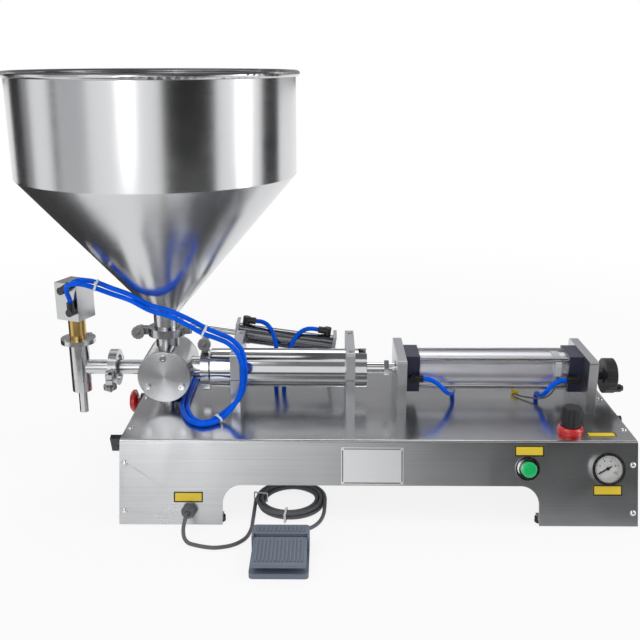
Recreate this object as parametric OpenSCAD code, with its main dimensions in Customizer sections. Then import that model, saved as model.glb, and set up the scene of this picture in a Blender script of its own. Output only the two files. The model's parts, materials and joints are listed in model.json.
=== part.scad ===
// Pneumatic horizontal piston filling machine for pastes: a cone hopper over a
// rotary valve, a measuring cylinder driven by an air cylinder, a shut-off
// nozzle with its own small air cylinder, and a foot pedal on a lead.
// Millimetres; X runs to the right, Y to the back, Z up from the table. Places
// start at the base's left end and front top edge, then move to a central origin.

/* [Base] */
// Length of the base
base_len = 800; // [780:5:860]
// Depth of the flat top
base_depth = 340; // [320:5:400]
// Height of the top over the table
base_h = 127; // [115:1:160]
// Thickness of the base sheet
sheet_t = 2; // [1.5:0.5:2.5]
// Slope of the front and back panels from upright, degrees
front_slope = 17; // [10:1:20]
// Width of the left leg at the arch
leg_left_w = 160; // [140:5:200]
// Width of the right leg at the arch
leg_right_w = 152; // [140:5:200]
// Height of the panel band above the arch
arch_drop = 66.5; // [60:0.5:80]
// Corner radius of the arch
arch_r = 28; // [10:1:32]
// Height of a rubber foot
foot_h = 8; // [6:1:12]

/* [Line of cylinders] */
// Height of the cylinder axis over the base top
line_h = 57; // [54:1:70]
// Distance of the cylinder axis from the front edge
line_y = 170; // [160:1:185]
// Outside diameter of the measuring cylinder
dose_od = 66; // [64:1:72]
// Bore of the measuring cylinder
dose_bore = 60; // [50:1:61]
// Stroke of the measuring piston
dose_stroke = 180; // [150:5:195]
// Bore of the air cylinder
air_bore = 50; // [40:1:52]
// Side of the square air cylinder caps
cap_side = 62; // [60:1:66]
// Length of an air cylinder cap
cap_len = 24; // [22:1:30]
// Diameter of the measuring piston rod
dose_rod_d = 18; // [14:1:20]
// Diameter of the air cylinder rod
air_rod_d = 16; // [12:1:18]

/* [Support plates] */
// Thickness of a support plate
plate_t = 15; // [12:1:18]
// Width of a support plate
plate_w = 130; // [120:1:140]
// Height of the split clamp blocks
clamp_h = 103; // [98:1:120]
// Height of the air cylinder plates
plate_h = 90; // [89:1:110]
// Left face of the front clamp block
clamp_front_x = 162; // [155:1:175]
// Left face of the rear clamp block
clamp_rear_x = 352; // [340:1:356]
// Left face of the front cylinder plate
plate_front_x = 437; // [435:1:445]
// Distance from the rear cylinder plate to the right end of the base
plate_rear_inset = 51; // [45:1:60]

/* [Valve and nozzle] */
// Distance of the valve axis from the left end
valve_x = 50; // [48:1:56]
// Diameter of the valve drum
valve_od = 88; // [84:1:92]
// Length of the valve with its covers
valve_len = 100; // [90:1:110]
// Diameter of the valve rotor chamber
rotor_bore = 56; // [50:1:60]
// Bore of the valve ports
port_d = 24; // [20:1:25]
// Swing of the valve lever, degrees
valve_swing = 60; // [50:1:62]
// Distance of the nozzle axis left of the base
nozzle_reach = 102; // [100:1:130]
// Diameter of the nozzle body
nozzle_d = 33; // [30:1:36]
// Diameter of the nozzle tip
tip_d = 15; // [13:1:18]
// Lift of the shut-off plunger
plunger_lift = 18; // [10:1:20]

/* [Hopper] */
// Diameter of the hopper
hopper_d = 442; // [380:2:480]
// Height of the hopper rim over the base top
hopper_top = 546; // [520:2:600]
// Height of the hopper's straight wall
hopper_wall_h = 158; // [120:2:180]
// Thickness of the hopper sheet
hopper_t = 2; // [1.5:0.5:3]
// Diameter of the rolled rim
rim_d = 9; // [6:0.5:10]

/* [Foot pedal] */
// Distance of the pedal's middle from the left end
pedal_x = 254; // [250:1:258]
// Width of the pedal
pedal_w = 84; // [78:1:90]
// Length of the pedal
pedal_len = 94; // [90:1:110]
// Height of the pedal's back housing
pedal_h = 32; // [30:1:38]

/* [Hidden] */
$fn = 64;

// Clearances shared by every fit
overrun = 1;         // how far a cut passes the wall that it opens
run_gap = 0.05;      // radial clearance of a shaft that turns or slides
free_gap = 0.3;      // gap between pieces that move past each other

// Base sheet
floor_gap = 2;
bend_r = 5.5;
bend_steps = 6;
top_z = base_h;
axis_z = base_h + line_h;
slope_run = (base_h - floor_gap) * tan(front_slope);
bend_in = bend_r * tan((90 - front_slope) / 2);
side_gap = 0.2;
flange_w = 20;
foot_r = 8;
foot_shelf = 24;
foot_end_in = 24;    // outer feet from the ends of the base
foot_leg_in = 5;     // inner feet from the arch

// Panel screws, all pan heads
screw_head_r = 4.85;
screw_head_h = 3;
screw_r = 2.4;
screw_len = 9;
screw_inset = 8;
screw_slope_s = [36, base_h - 17];
screw_top_y = [44, base_depth / 2, base_depth - 44];

// Plates and labels on the panels
name_x = 391;
name_s = 39;
name_w = 96;
name_h = 57;
name_t = 1;
label_t = 0.5;
label_w = 45;
label_h = 16.5;
label_at = [[base_len - 167, 14.9], [base_len - 47, 75], [107, 88]];
label_on_top = [base_len - 49, 25];

// Pressure gauge
gauge_inset = 48;
gauge_s = 41;
gauge_r = 25.5;
gauge_front = 10;
gauge_back = 26;
gauge_lip = 3.5;
gauge_stem_r = 6;
gauge_stem_len = 12;
dial_t = 0.8;
dial_depth = 7;
pointer_rest = 210;
pointer_len = 16;
pointer_tail = 7;
pointer_w = 1.8;
pointer_t = 0.8;
pointer_hub_r = 2.4;
spindle_r = 0.8;

// Start button
button_inset = 170;
button_s = 42;
button_flange_r = 18.5;
button_flange_t = 2;
button_ring_r = 14.75;
button_ring_h = 8;
button_cap_r = 12;
button_cap_top = 14;
button_barrel_r = 11;
button_barrel_len = 30;
button_stem_r = 5;

// Emergency stop on the left side
estop_y = 190;
estop_drop = 14;
estop_barrel_r = 8;
estop_barrel_len = 30;
estop_collar_r = 14;
estop_collar_h = 6;
estop_head_r = 20;
estop_head_t = 12;
estop_travel = 5;
estop_stem_r = 5;

// Selector switch on the left side
selector_y = 25;
selector_drop = 17;
selector_r = 13.5;
selector_t = 3;
selector_barrel_r = 11;
selector_barrel_len = 30;
selector_hub_t = 4;
selector_bar = 27;
selector_bar_w = 9;
selector_bar_h = 16;
selector_slant = 20;
selector_spindle_r = 3;

// Pressure regulator
regulator_inset = 96;
regulator_y = 33;
regulator_ring_r = 20;
regulator_ring_h = 12;
regulator_bore_r = 15;
regulator_block = 40;
regulator_block_h = 46;
regulator_knob_r = 14.5;
regulator_knob_low = 4;
regulator_knob_top = 44;
regulator_spindle_r = 5;
flute_r = 1.6;

// Cable gland
gland_x = 109;
gland_s = 108;
gland_nut_r = 12.5;
gland_nut_h = 6;
gland_dome_r = 10;
gland_dome_h = 18;
gland_lip_r = 6;
gland_lip_h = 6;
gland_thread_r = 8;
gland_thread_len = 12;

// Air inlet on the right side
inlet_y = 120;
inlet_drop = 16;
inlet_r = 7;
inlet_out = 13;
inlet_in = 20;
inlet_nut_r = 10;
inlet_nut_h = 5;
inlet_bore_r = 4.05;

// Air valve block under the top
valve_block_x = 300;
valve_block_y = 236;
valve_block_len = 110;
valve_block_w = 40;
valve_block_h = 18;
pilot_count = 4;
pilot_w = 18;
pilot_len = 70;
pilot_h = 26;

// Support plates
plate_y = line_y + 2;
plate_round = 4;
split_gap = 1;
clamp_bolt_r = 3;
clamp_bolt_head_r = 5;
clamp_bolt_head_h = 6;
clamp_bolt_sink = 7;
clamp_bolt_span = 96;
clamp_bolt_reach = 40;
rod_hole_r = 13;
plate_rear_x = base_len - plate_rear_inset;
cover_bolt_span = 90;
cover_bolt_len = 18;
cover_bolt_head_h = 5;

// Measuring cylinder
dose_tail = 21;
dose_wall = 6;
dose_neck_gap = 6;   // between the joint's ferrule and the end wall
window_w = 26;
window_len = 14;
piston_len = 36;
seal_w = 5;
seal_depth = 2.5;
seal_in = 6;
piston_dead = 4;
nut_r = 13.5;
nut_len = 8;
nut_lead = 11;       // nut's rear face to the front cylinder plate

// Air cylinder
air_tube_t = 3;
tie_r = 4;
tie_off = 24.5;
air_piston_len = 22;
pad_r = 10;
pad_t = 5;
pad_stud_r = 3;
pad_stud_len = 8;
stop_travel = 24;    // how far the stop screw turns in
stop_drop = 13;      // stop screw's axis below the cylinder's
screw_spindle_r = 7;
wheel_gap = 28;
wheel_r = 30;
wheel_t = 19;
wheel_hub_r = 13;
wheel_hub_t = 2;
crank_r = 22;
crank_angle = 235;
crank_pin_r = 3;
crank_grip_r = 7;
crank_grip_len = 11;
crank_cap_h = 1.5;
spindle_end = 3;
band_inset = 12;     // reed switch band to the rear cap
band_w = 12;
band_t = 1.6;
reed_w = 10;
reed_len = 24;
reed_h = 6;
reed_low = 2;        // lower end under the cylinder axis
lead_r = 1.6;
tag_len = 18;
tag_h = 9;
tag_t = 1;
tag_turn = 55;

// Valve
cover_t = 9;
cover_screw_r = 33;
cover_screw_head_r = 5;
cover_screw_head_h = 4;
cover_screw_shank_r = 2.9;
cover_screw_len = 18;
rotor_disc_t = 9;
blade_half = 46;
blade_dir = 160;
stem_r = 8;
neck_r = 19;
pipe_r = 12.5;
pipe_bore_r = 10;
neck_bore_r = 16;
neck_sink = 4;       // depth of the wide neck bores in the drum
leg_r = 14;
leg_foot_r = 20;
leg_foot_h = 4;

// Pipe joints
ferrule_r = 25.25;
ferrule_t = 3;
gasket_t = 1.6;
top_joint_z = axis_z + 67;
left_joint_x = -42;
right_joint_x = 114;
ring_r = 31;
ring_w = 14;
ring_lip_r = 22;
ring_split = 2;
lug_len = 21;
lug_t = 8;
lug_w = 11;
lug_bolt_x = ring_r + 15;
lug_bolt_r = 3;
hinge_r = 5.5;
hinge_pin_r = 2.2;
nut_knob_r = 11;
nut_knob_t = 9;
bolt_out = 6;
joint_at = [[valve_x, line_y, top_joint_z], [left_joint_x, line_y, axis_z],
  [right_joint_x, line_y, axis_z]];
joint_turn = [[0, 0, 0], [0, 90, 0], [0, 90, 0]];
joint_spin = [0, 95, 0];
joint_bore = [neck_bore_r, pipe_bore_r, neck_bore_r];

// Actuator that swings the valve lever
act_tilt = 8;
act_y = line_y + valve_len / 2 + 42;
act_h = 48;          // rod line above the rotor axis
act_half = act_h * tan(valve_swing / 2);
act_x = valve_x + act_h * sin(act_tilt);
act_z = axis_z + act_h * cos(act_tilt);
lever_rest = 90 - act_tilt + valve_swing / 2;
lever_t = 8;
lever_w = 20;
lever_hub_r = 15;
lever_pin_r = 4;
slot_play = 1.5;
slot_end = 1.5;
fork_ear_t = 5;
fork_ear_r = 9;
fork_gap = 0.5;
fork_reach = 19;
fork_len = 13;
act_rod_r = 6;
act_front = 106;
act_cap_len = 22;
act_body_r = 17;
act_bore_r = 15;
act_cap_r = 18;
act_len = 169;
act_piston_len = 14;
bracket_t = 6;
bracket_w = 40;
bracket_top = 22;
bracket_foot = 26;
bracket_foot_t = 5;

// Hopper
rim_r = rim_d / 2;
cone_base = 98;      // foot of the cone over the cylinder axis
hopper_neck_r = 21;

// Nozzle
nozzle_x = -nozzle_reach;
nozzle_low = 15;     // over the base top
nozzle_joint = 36;
nozzle_flange_low = 102;
nozzle_flange_r = 29;
nozzle_flange_t = 8;
chamber_r = 13;
plug_r = 11;
plug_h = 10;
tip_drop = 25;
tip_bore_r = 5.5;
plunger_r = 5;
guide_r = 14.3;
guide_h = 36;
block_side = 44;
block_h = 64;
block_turn = 22;
block_bore_r = 16;
block_wall = 8;
block_piston_h = 12;
flange_screws = 4;
flange_screw_r = 23;
flange_head_r = 3.6;
flange_head_h = 3;

// Push-in elbows: stem, knuckle and arm
elbow_stem_r = 4.6;
elbow_knuckle_r = 6.5;
elbow_knuckle_h = 14;
elbow_arm_r = 6.2;
elbow_arm_len = 17;
elbow_sink = 2;
port_across = 14;
cap_port_drop = [5, 7];
low_port_up = 18;
high_port_up = 54;
high_arm_turn = 35;
tube_r = 4;

// Foot pedal
pedal_front = -179;
pedal_tray_h = 8;
pedal_wall = 3;
pedal_house_len = 25;
pedal_plate_t = 5;
pedal_hinge_z = 24;
pedal_slope = 4;
pedal_pin_r = 2.5;
pedal_ribs = 13;
pedal_rib_w = 2.4;
pedal_rib_h = 1.6;
house_ribs = 12;
house_rib_len = 14;
pedal_lip = 8;
pedal_round = 6;
pedal_inlet_r = 5.5;
pedal_inlet_len = 8;
pedal_cord_x = 258;
pedal_cord_z = 12;

// Pedal lead and its coil
cord_r = 3;
cord_sides = 8;
coil_x = 262;
coil_y = 30;
coil_z = 4.6;
coil_out_r = 56;
coil_pitch = 6.8;
coil_layer = 6.6;
coil_turns = 2;
coil_dip = 1.6;
coil_steps = 24;
coil_sides = 6;
tie_t = 1;
tie_w = 3.5;
coil_tie_turns = [169, 264];
cord_run = [[109, -46.9, 28.4], [109, -55, 30.9], [109, -64, 32], [108, -74, 28], [107, -82, 19],
  [109, -88, 9], [115, -93, 4], [124, -97, 3.2], [138, -102, 3.2], [154, -105, 3.2], [168, -103, 3.2],
  [181, -98, 3.2], [192, -89, 3.2], [200, -77, 3.2], [204, -63, 3.2], [206, -48, 3.2],
  [206, -32, 3.2], [206, -16, 3.4], [206, 0, 4], [206, 15, 4.6], [206, 30, 4.6]];
cord_end = [[318, 30, 11.2], [318, 18, 11], [317.5, 4, 8.6], [316, -10, 5.2], [312, -24, 3.2],
  [306, -37, 3.2], [297, -48, 3.4], [286, -56, 5], [274, -62, 8], [264, -67, 11],
  [259, -72, 12], [258, -77, 12]];

// Blue air tubes, measured from the base's left front top corner
function back_end(x) = [[x, base_depth - 98, 5], [x, base_depth - 82, 9], [x, base_depth - 70, 13],
  [x, base_depth - 58, 13], [x, base_depth - 50, 8], [x, base_depth - 48, 0], [x, base_depth - 48, -8]];
tube_low = concat([[-100.2, 137.2, 181], [-100.2, 137.2, 184], [-100.8, 134.5, 191], [-101.8, 130.5, 198],
  [-101.3, 125, 207], [-95.7, 119, 214.5], [-84, 113, 219], [-70, 110, 219], [-50, 110, 213],
  [-25, 112, 203], [4, 113, 192], [37, 106, 177], [69, 103, 168], [98, 102, 153], [121, 101, 140],
  [142, 99, 133], [161, 97, 125], [176, 94, 110], [183, 90, 92], [184, 86, 76], [182.5, 80.5, 55],
  [176, 77, 36], [161, 74, 15], [148, 65, 6.2], [135, 53, 4.4], [121, 48.6, 4.4], [105, 57, 4.4],
  [94, 73, 4.4], [86, 92, 4.4], [79.5, 114, 4.4], [76, 138, 4.4], [75, 163, 4.4]], back_end(75));
tube_high = concat([[-100.2, 137.2, 209.8], [-97.9, 136.3, 211.5], [-92.7, 134.2, 215.3],
  [-84.7, 130, 219.5], [-70, 123, 222.5], [-50, 117, 221], [-25, 116, 211.5], [4, 117, 200],
  [37, 110, 185], [69, 107, 176], [101, 107, 161], [126, 107, 147], [146, 105, 139], [166, 103, 130],
  [182, 101, 113], [187, 98, 94], [188, 94, 76], [186, 89, 53], [178, 86, 34], [156, 81, 14],
  [142, 72.5, 6.2], [131, 61, 4.4], [121, 57.2, 4.4], [111, 63, 4.4], [101.5, 77, 4.4], [94, 95, 4.4],
  [88, 116, 4.4], [84.6, 139, 4.4], [83.6, 163, 4.4]], back_end(83.6));
act_front_tube = [[193, 262, 111.4], [196, 262, 111], [203, 261, 110], [213, 256, 107], [222, 247, 98],
  [228, 238, 84], [231, 231, 64], [232, 225, 40], [231, 221, 18], [230, 220, 0], [230, 220, -8]];
act_rear_tube = [[304.9, 262, 95.6], [301.9, 262, 96], [295, 261, 97], [284, 257, 97], [272, 249, 94],
  [261, 240, 82], [253, 232, 62], [247, 225, 38], [244, 221, 16], [244, 220, 0], [244, 220, -8]];
tube_ties = [[8, 5], [14, 11], [23, 20]];

// How far the object reaches, which sets the origin
reach_left = valve_x - hopper_d / 2 - rim_r - hopper_t;
wheel_x = plate_rear_x + plate_t + wheel_gap;
reach_right = wheel_x + wheel_t + crank_grip_len + crank_cap_h + 2 * free_gap;
reach_back = line_y + hopper_d / 2 + rim_r + hopper_t;
mid_x = (reach_left + reach_right) / 2;
mid_y = (pedal_front + reach_back) / 2;

// Where the pistons stand
dose_front_x = right_joint_x + gasket_t / 2 + ferrule_t + dose_neck_gap;
dose_rear_x = clamp_rear_x + plate_t + dose_tail;
piston_front_x = dose_front_x + dose_wall + piston_dead + dose_stroke;
front_cap_x = plate_front_x + plate_t;
air_tube_x = front_cap_x + cap_len;
rear_cap_x = plate_rear_x - cap_len;
lead_y = -air_bore / 2 - 7.3;

// Runs from the air cylinder, measured along it from a cap
function beside(x, run) = [for (p = run) p + [x, line_y, 0]];

front_cap_tube = beside(front_cap_x, [[29, -38.8, line_h - 5], [32, -38.8, line_h - 5], [39, -39, 51],
  [50, -39, 46], [59, -38, 38], [66, -35, 30], [74, -26, 21], [81, -12, 16], [86, 3, 13],
  [88, 14, 12], [88, 19, 7], [88, 20, 0], [88, 20, -8]]);
rear_cap_tube = beside(rear_cap_x, [[-5, -38.8, line_h - 7], [-8, -38.8, line_h - 7], [-15, -39, 49],
  [-25, -38, 43], [-32, -36, 33], [-37, -29, 22], [-40, -18, 15], [-42, -7, 13], [-42, 2, 11],
  [-42, 6, 6], [-42, 7, 0], [-42, 7, -8]]);
reed_lead_run = beside(rear_cap_x, [[-18, lead_y, line_h], [-18.5, lead_y, line_h - 11], [-21, lead_y, 35],
  [-26, -29, 22], [-35, -21, 11], [-48, -10, 6], [-61, 0, 4], [-71, 9, 3], [-76, 18, 3], [-77, 25, 3],
  [-77, 28, 0], [-77, 28, -8]]);
pad_x = rear_cap_x - pad_t - overrun;
air_piston_x = pad_x - stop_travel - free_gap - air_piston_len;
nut_x = plate_front_x - nut_lead - nut_len;
block_low = nozzle_flange_low + nozzle_flange_t + guide_h;
chamber_low = nozzle_low + 6;

// Moves a piece from the base's corner to the common origin
module placed() {
  translate([-mid_x, -mid_y, 0])
    children();
}

// Stands on the sloped front panel, s down the slope, Z out of the panel
module on_front(x, s) {
  translate([x, -s * sin(front_slope), base_h - s * cos(front_slope)])
    rotate([90 - front_slope, 0, 0])
      children();
}

// The same on the back panel
module on_back(x, s) {
  translate([x, base_depth + s * sin(front_slope), base_h - s * cos(front_slope)])
    rotate([front_slope - 90, 0, 0])
      children();
}

module up(z) {
  translate([0, 0, z])
    children();
}

// Turns a cylinder that starts at the origin to run along X or along Y
module along_x() {
  rotate([0, 90, 0])
    children();
}

module along_y() {
  rotate([-90, 0, 0])
    children();
}

// A round bar on the line of cylinders
module line_bar(x_low, x_high, r) {
  translate([x_low, line_y, axis_z])
    along_x()
      cylinder(h=x_high - x_low, r=r);
}

// A hexagon across its corners
module hexagon(h, r) {
  cylinder(h=h, r=r, $fn = 6);
}

// The same on the stop screw's axis
module stop_bar(x_low, x_high, r) {
  up(-stop_drop)
    line_bar(x_low, x_high, r);
}

function arc(c, r, low, high, steps) =
  [for (i = [0:steps]) c + r * [cos(low + (high - low) * i / steps), sin(low + (high - low) * i / steps)]];

function reversed(list) = [for (i = [len(list) - 1:-1:0]) list[i]];

// Outline of the base sheet from the front hem over the top to the back hem
function half_sheet(inset) = concat(
  [[-slope_run + inset / cos(front_slope), floor_gap]],
  arc([bend_in, base_h - bend_r], bend_r - inset, 180 - front_slope, 90, bend_steps));

function sheet_line(inset) = concat(half_sheet(inset),
  [for (p = reversed(half_sheet(inset))) [base_depth - p[0], p[1]]]);

module sheet_band(outer, inner) {
  polygon(concat(sheet_line(outer), reversed(sheet_line(inner))));
}

module extrude_x(x_low, len) {
  translate([x_low, 0, 0])
    rotate([90, 0, 90])
      linear_extrude(len)
        children();
}

module at_panel_screws() {
  for (x = [screw_inset, base_len - screw_inset]) {
    for (s = screw_slope_s) {
      on_front(x, s) children();
      on_back(x, s) children();
    }
    for (y = screw_top_y)
      translate([x, y, top_z]) children();
  }
}

module arch_outline() {
  arch_w = base_len - leg_left_w - leg_right_w;
  arch_h = base_h - arch_drop;
  translate([leg_left_w, -overrun])
    square([arch_w, arch_h - arch_r + overrun]);
  translate([leg_left_w + arch_r, 0])
    square([arch_w - 2 * arch_r, arch_h]);
  for (x = [leg_left_w + arch_r, base_len - leg_right_w - arch_r])
    translate([x, arch_h - arch_r])
      circle(arch_r);
}

foot_x = [foot_end_in, leg_left_w - foot_leg_in, base_len - leg_right_w + foot_leg_in,
  base_len - foot_end_in];
shelf_y = sheet_t / 2 - (base_h - foot_h) * tan(front_slope);
foot_y = [shelf_y + foot_shelf - foot_r - overrun,
  base_depth - shelf_y - foot_shelf + foot_r + overrun];

module base_cover() {
  color("lightsteelblue") placed() difference() {
    union() {
      difference() {
        extrude_x(0, base_len)
          sheet_band(0, sheet_t);
        translate([0, base_depth + 2 * slope_run, 0])
          rotate([90, 0, 0])
            linear_extrude(base_depth + 4 * slope_run)
              arch_outline();
      }
      for (shelf = [[side_gap + 2 * sheet_t, leg_left_w],
        [base_len - leg_right_w, base_len - side_gap - 2 * sheet_t]])
        for (y = [shelf_y, base_depth - shelf_y - foot_shelf])
          translate([shelf[0], y, foot_h])
            cube([shelf[1] - shelf[0], foot_shelf, sheet_t]);
    }
    at_panel_screws()
      up(-2 * sheet_t)
        cylinder(h=4 * sheet_t, r=screw_r + run_gap);
    panel_holes();
    at_plate_feet();
  }
}

// Openings in the cover for what is fitted through it
module panel_holes() {
  on_front(base_len - gauge_inset, gauge_s)
    through(gauge_r - gauge_lip + free_gap);
  on_front(base_len - button_inset, button_s)
    through(button_barrel_r + free_gap);
  on_front(gland_x, gland_s)
    through(gland_thread_r + free_gap);
  translate([base_len - regulator_inset, regulator_y, top_z])
    through(regulator_bore_r + free_gap);
  for (run = [tube_low, tube_high, front_cap_tube, rear_cap_tube, act_front_tube, act_rear_tube])
    translate([run[len(run) - 1][0], run[len(run) - 1][1], top_z])
      through(tube_r + 2 * free_gap);
  translate([reed_lead_run[len(reed_lead_run) - 1][0], reed_lead_run[len(reed_lead_run) - 1][1], top_z])
    through(lead_r + free_gap);
}

// A hole through the base sheet
module through(r) {
  up(-3 * sheet_t)
    cylinder(h=4 * sheet_t, r=r);
}

module side_panel() {
  extrude_x(side_gap, sheet_t)
    polygon(sheet_line(sheet_t + side_gap));
  extrude_x(side_gap, flange_w)
    sheet_band(sheet_t + side_gap, 2 * sheet_t + side_gap);
}

module side_panels() {
  color("silver") placed() difference() {
    union() {
      side_panel();
      translate([base_len, 0, 0])
        mirror([1, 0, 0])
          side_panel();
    }
    at_panel_screws()
      up(-4 * sheet_t)
        cylinder(h=6 * sheet_t, r=screw_r + run_gap);
    translate([side_gap + sheet_t, -slope_run, -overrun])
      cube([base_len - 2 * side_gap - 2 * sheet_t, base_depth + 2 * slope_run,
        foot_h + sheet_t + free_gap + overrun]);
    translate([-overrun, estop_y, top_z - estop_drop])
      along_x() cylinder(h=4 * sheet_t, r=estop_barrel_r + run_gap);
    translate([-overrun, selector_y, top_z - selector_drop])
      along_x() cylinder(h=4 * sheet_t, r=selector_barrel_r + run_gap);
    translate([base_len + overrun - 4 * sheet_t, inlet_y, top_z - inlet_drop])
      along_x() cylinder(h=4 * sheet_t, r=inlet_r + run_gap);
  }
}

module rubber_feet() {
  color("#202020") placed()
    for (x = foot_x, y = foot_y)
      translate([x, y, 0])
        cylinder(h=foot_h, r=foot_r);
}

module panel_screws() {
  color("gainsboro") placed()
    at_panel_screws() {
      up(-screw_len)
        cylinder(h=screw_len, r=screw_r);
      pan_head();
    }
}

// A domed head with a cross recess
module pan_head() {
  difference() {
    rotate_extrude()
      polygon(concat([[0, 0]],
        [for (i = [0:4]) [screw_head_r * cos(18 * i), screw_head_h * sin(18 * i)]], [[0, screw_head_h]]));
    for (turn = [0, 90])
      rotate([0, 0, turn])
        translate([-screw_head_r / 2, -screw_head_r / 10, screw_head_h / 2])
          cube([screw_head_r, screw_head_r / 5, screw_head_h]);
  }
}

module nameplate() {
  color("silver") placed()
    on_front(name_x, name_s) {
      translate([-name_w / 2, -name_h / 2, 0])
        cube([name_w, name_h, name_t]);
      for (x = [-1, 1], y = [-1, 1])
        translate([x * (name_w / 2 - 3 * name_t), y * (name_h / 2 - 3 * name_t), name_t])
          cylinder(h=name_t / 2, r=1.5 * name_t);
    }
}

module label_plates() {
  color("gold") placed() {
    for (at = label_at)
      on_front(at[0], at[1])
        label();
    translate([label_on_top[0], label_on_top[1], top_z])
      label();
  }
}

module label() {
  translate([-label_w / 2, -label_h / 2, 0])
    cube([label_w, label_h, label_t]);
}

module gauge_case() {
  bore = gauge_r - gauge_lip;
  color("gainsboro") placed()
    on_front(base_len - gauge_inset, gauge_s)
      difference() {
        union() {
          up(-gauge_back)
            cylinder(h=gauge_back + gauge_front, r=bore);
          cylinder(h=gauge_front, r=gauge_r);
          up(-gauge_back - gauge_stem_len)
            cylinder(h=gauge_stem_len + overrun, r=gauge_stem_r);
        }
        up(gauge_front - dial_depth)
          cylinder(h=dial_depth + overrun, r=bore - gauge_lip / 3);
        up(-gauge_back / 2)
          cylinder(h=gauge_back, r=spindle_r + run_gap);
      }
}

module gauge_dial() {
  color("white") placed()
    on_front(base_len - gauge_inset, gauge_s)
      up(gauge_front - dial_depth)
        difference() {
          cylinder(h=dial_t, r=gauge_r - gauge_lip - gauge_lip / 3 - run_gap);
          up(-overrun)
            cylinder(h=dial_t + 2 * overrun, r=spindle_r + run_gap);
        }
}

module gauge_pointer() {
  low = gauge_front - dial_depth + dial_t + free_gap;
  color("#101010") placed()
    on_front(base_len - gauge_inset, gauge_s)
      rotate([0, 0, pointer_rest]) {
        translate([-pointer_tail, -pointer_w / 2, low])
          cube([pointer_len + pointer_tail, pointer_w, pointer_t]);
        up(low)
          cylinder(h=2 * pointer_t, r=pointer_hub_r);
        up(-gauge_back / 2 + overrun)
          cylinder(h=gauge_back / 2 - overrun + low + pointer_t, r=spindle_r);
      }
}

module start_button_body() {
  color("gainsboro") placed()
    on_front(base_len - button_inset, button_s)
      difference() {
        union() {
          cylinder(h=button_flange_t, r=button_flange_r);
          cylinder(h=button_ring_h, r=button_ring_r);
          up(-button_barrel_len)
            cylinder(h=button_barrel_len + overrun, r=button_barrel_r);
          up(-3 * sheet_t)
            hexagon(2 * sheet_t, button_flange_r - overrun);
        }
        up(-overrun)
          cylinder(h=button_ring_h + 2 * overrun, r=button_cap_r + free_gap);
        up(-button_barrel_len + 2 * sheet_t)
          cylinder(h=button_barrel_len, r=button_stem_r + run_gap);
      }
}

module start_button_cap() {
  low = button_ring_h / 2;
  color("limegreen") placed()
    on_front(base_len - button_inset, button_s) {
      up(low)
        cylinder(h=button_cap_top - low - overrun, r=button_cap_r);
      up(button_cap_top - overrun)
        cylinder(h=overrun, r1=button_cap_r, r2=button_cap_r - overrun);
      up(-button_barrel_len / 2)
        cylinder(h=button_barrel_len / 2 + low, r=button_stem_r);
    }
}

module at_left_side(y, drop) {
  translate([0, y, top_z - drop])
    children();
}

module estop_body() {
  color("#303030") placed()
    at_left_side(estop_y, estop_drop)
      difference() {
        union() {
          translate([-estop_collar_h, 0, 0])
            along_x() cylinder(h=estop_collar_h, r=estop_collar_r);
          along_x() cylinder(h=estop_barrel_len, r=estop_barrel_r);
        }
        translate([-estop_collar_h - overrun, 0, 0])
          along_x()
            cylinder(h=estop_barrel_len / 2 + estop_collar_h, r=estop_stem_r + run_gap);
      }
}

module estop_head() {
  gap = estop_travel + free_gap;
  color("red") placed()
    at_left_side(estop_y, estop_drop)
      translate([-estop_collar_h - gap - estop_head_t, 0, 0])
        along_x() {
          cylinder(h=estop_head_t / 3, r1=0.8 * estop_head_r, r2=estop_head_r);
          up(estop_head_t / 3)
            cylinder(h=estop_head_t / 3, r=estop_head_r);
          up(2 * estop_head_t / 3)
            cylinder(h=estop_head_t / 3, r1=estop_head_r, r2=0.6 * estop_head_r);
          cylinder(h=estop_head_t + gap + estop_collar_h, r=estop_stem_r);
        }
}

module selector_body() {
  color("#303030") placed()
    at_left_side(selector_y, selector_drop)
      difference() {
        union() {
          translate([-selector_t, 0, 0])
            along_x() cylinder(h=selector_t, r=selector_r);
          along_x() cylinder(h=selector_barrel_len, r=selector_barrel_r);
        }
        translate([-selector_t - overrun, 0, 0])
          along_x()
            cylinder(h=selector_barrel_len / 2, r=selector_spindle_r + run_gap);
      }
}

module selector_knob() {
  color("#181818") placed()
    at_left_side(selector_y, selector_drop)
      translate([-selector_t - free_gap, 0, 0])
        mirror([1, 0, 0]) {
          along_x() cylinder(h=selector_hub_t, r=selector_r - overrun);
          rotate([selector_slant, 0, 0])
            translate([0, -selector_bar_w / 2, -selector_bar / 2])
              cube([selector_bar_h, selector_bar_w, selector_bar]);
          mirror([1, 0, 0])
            along_x() cylinder(h=selector_barrel_len / 3, r=selector_spindle_r);
        }
}

module at_regulator() {
  translate([base_len - regulator_inset, regulator_y, top_z])
    children();
}

module regulator_body() {
  color("#404448") placed()
    at_regulator() {
      translate([-regulator_block / 2, -regulator_block / 2, -regulator_block_h - sheet_t])
        cube([regulator_block, regulator_block, regulator_block_h]);
      up(-sheet_t - overrun)
        cylinder(h=sheet_t + overrun + regulator_knob_low - free_gap, r=regulator_bore_r);
      cylinder(h=regulator_knob_top / 2, r=regulator_spindle_r);
    }
}

module regulator_ring() {
  color("tomato") placed()
    at_regulator()
      difference() {
        union() {
          cylinder(h=regulator_ring_h * 0.7, r=regulator_ring_r);
          up(regulator_ring_h * 0.7)
            cylinder(h=regulator_ring_h * 0.3, r1=regulator_ring_r, r2=regulator_bore_r + 2);
        }
        up(-overrun)
          cylinder(h=regulator_ring_h + 2 * overrun, r=regulator_bore_r + run_gap);
      }
}

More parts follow.
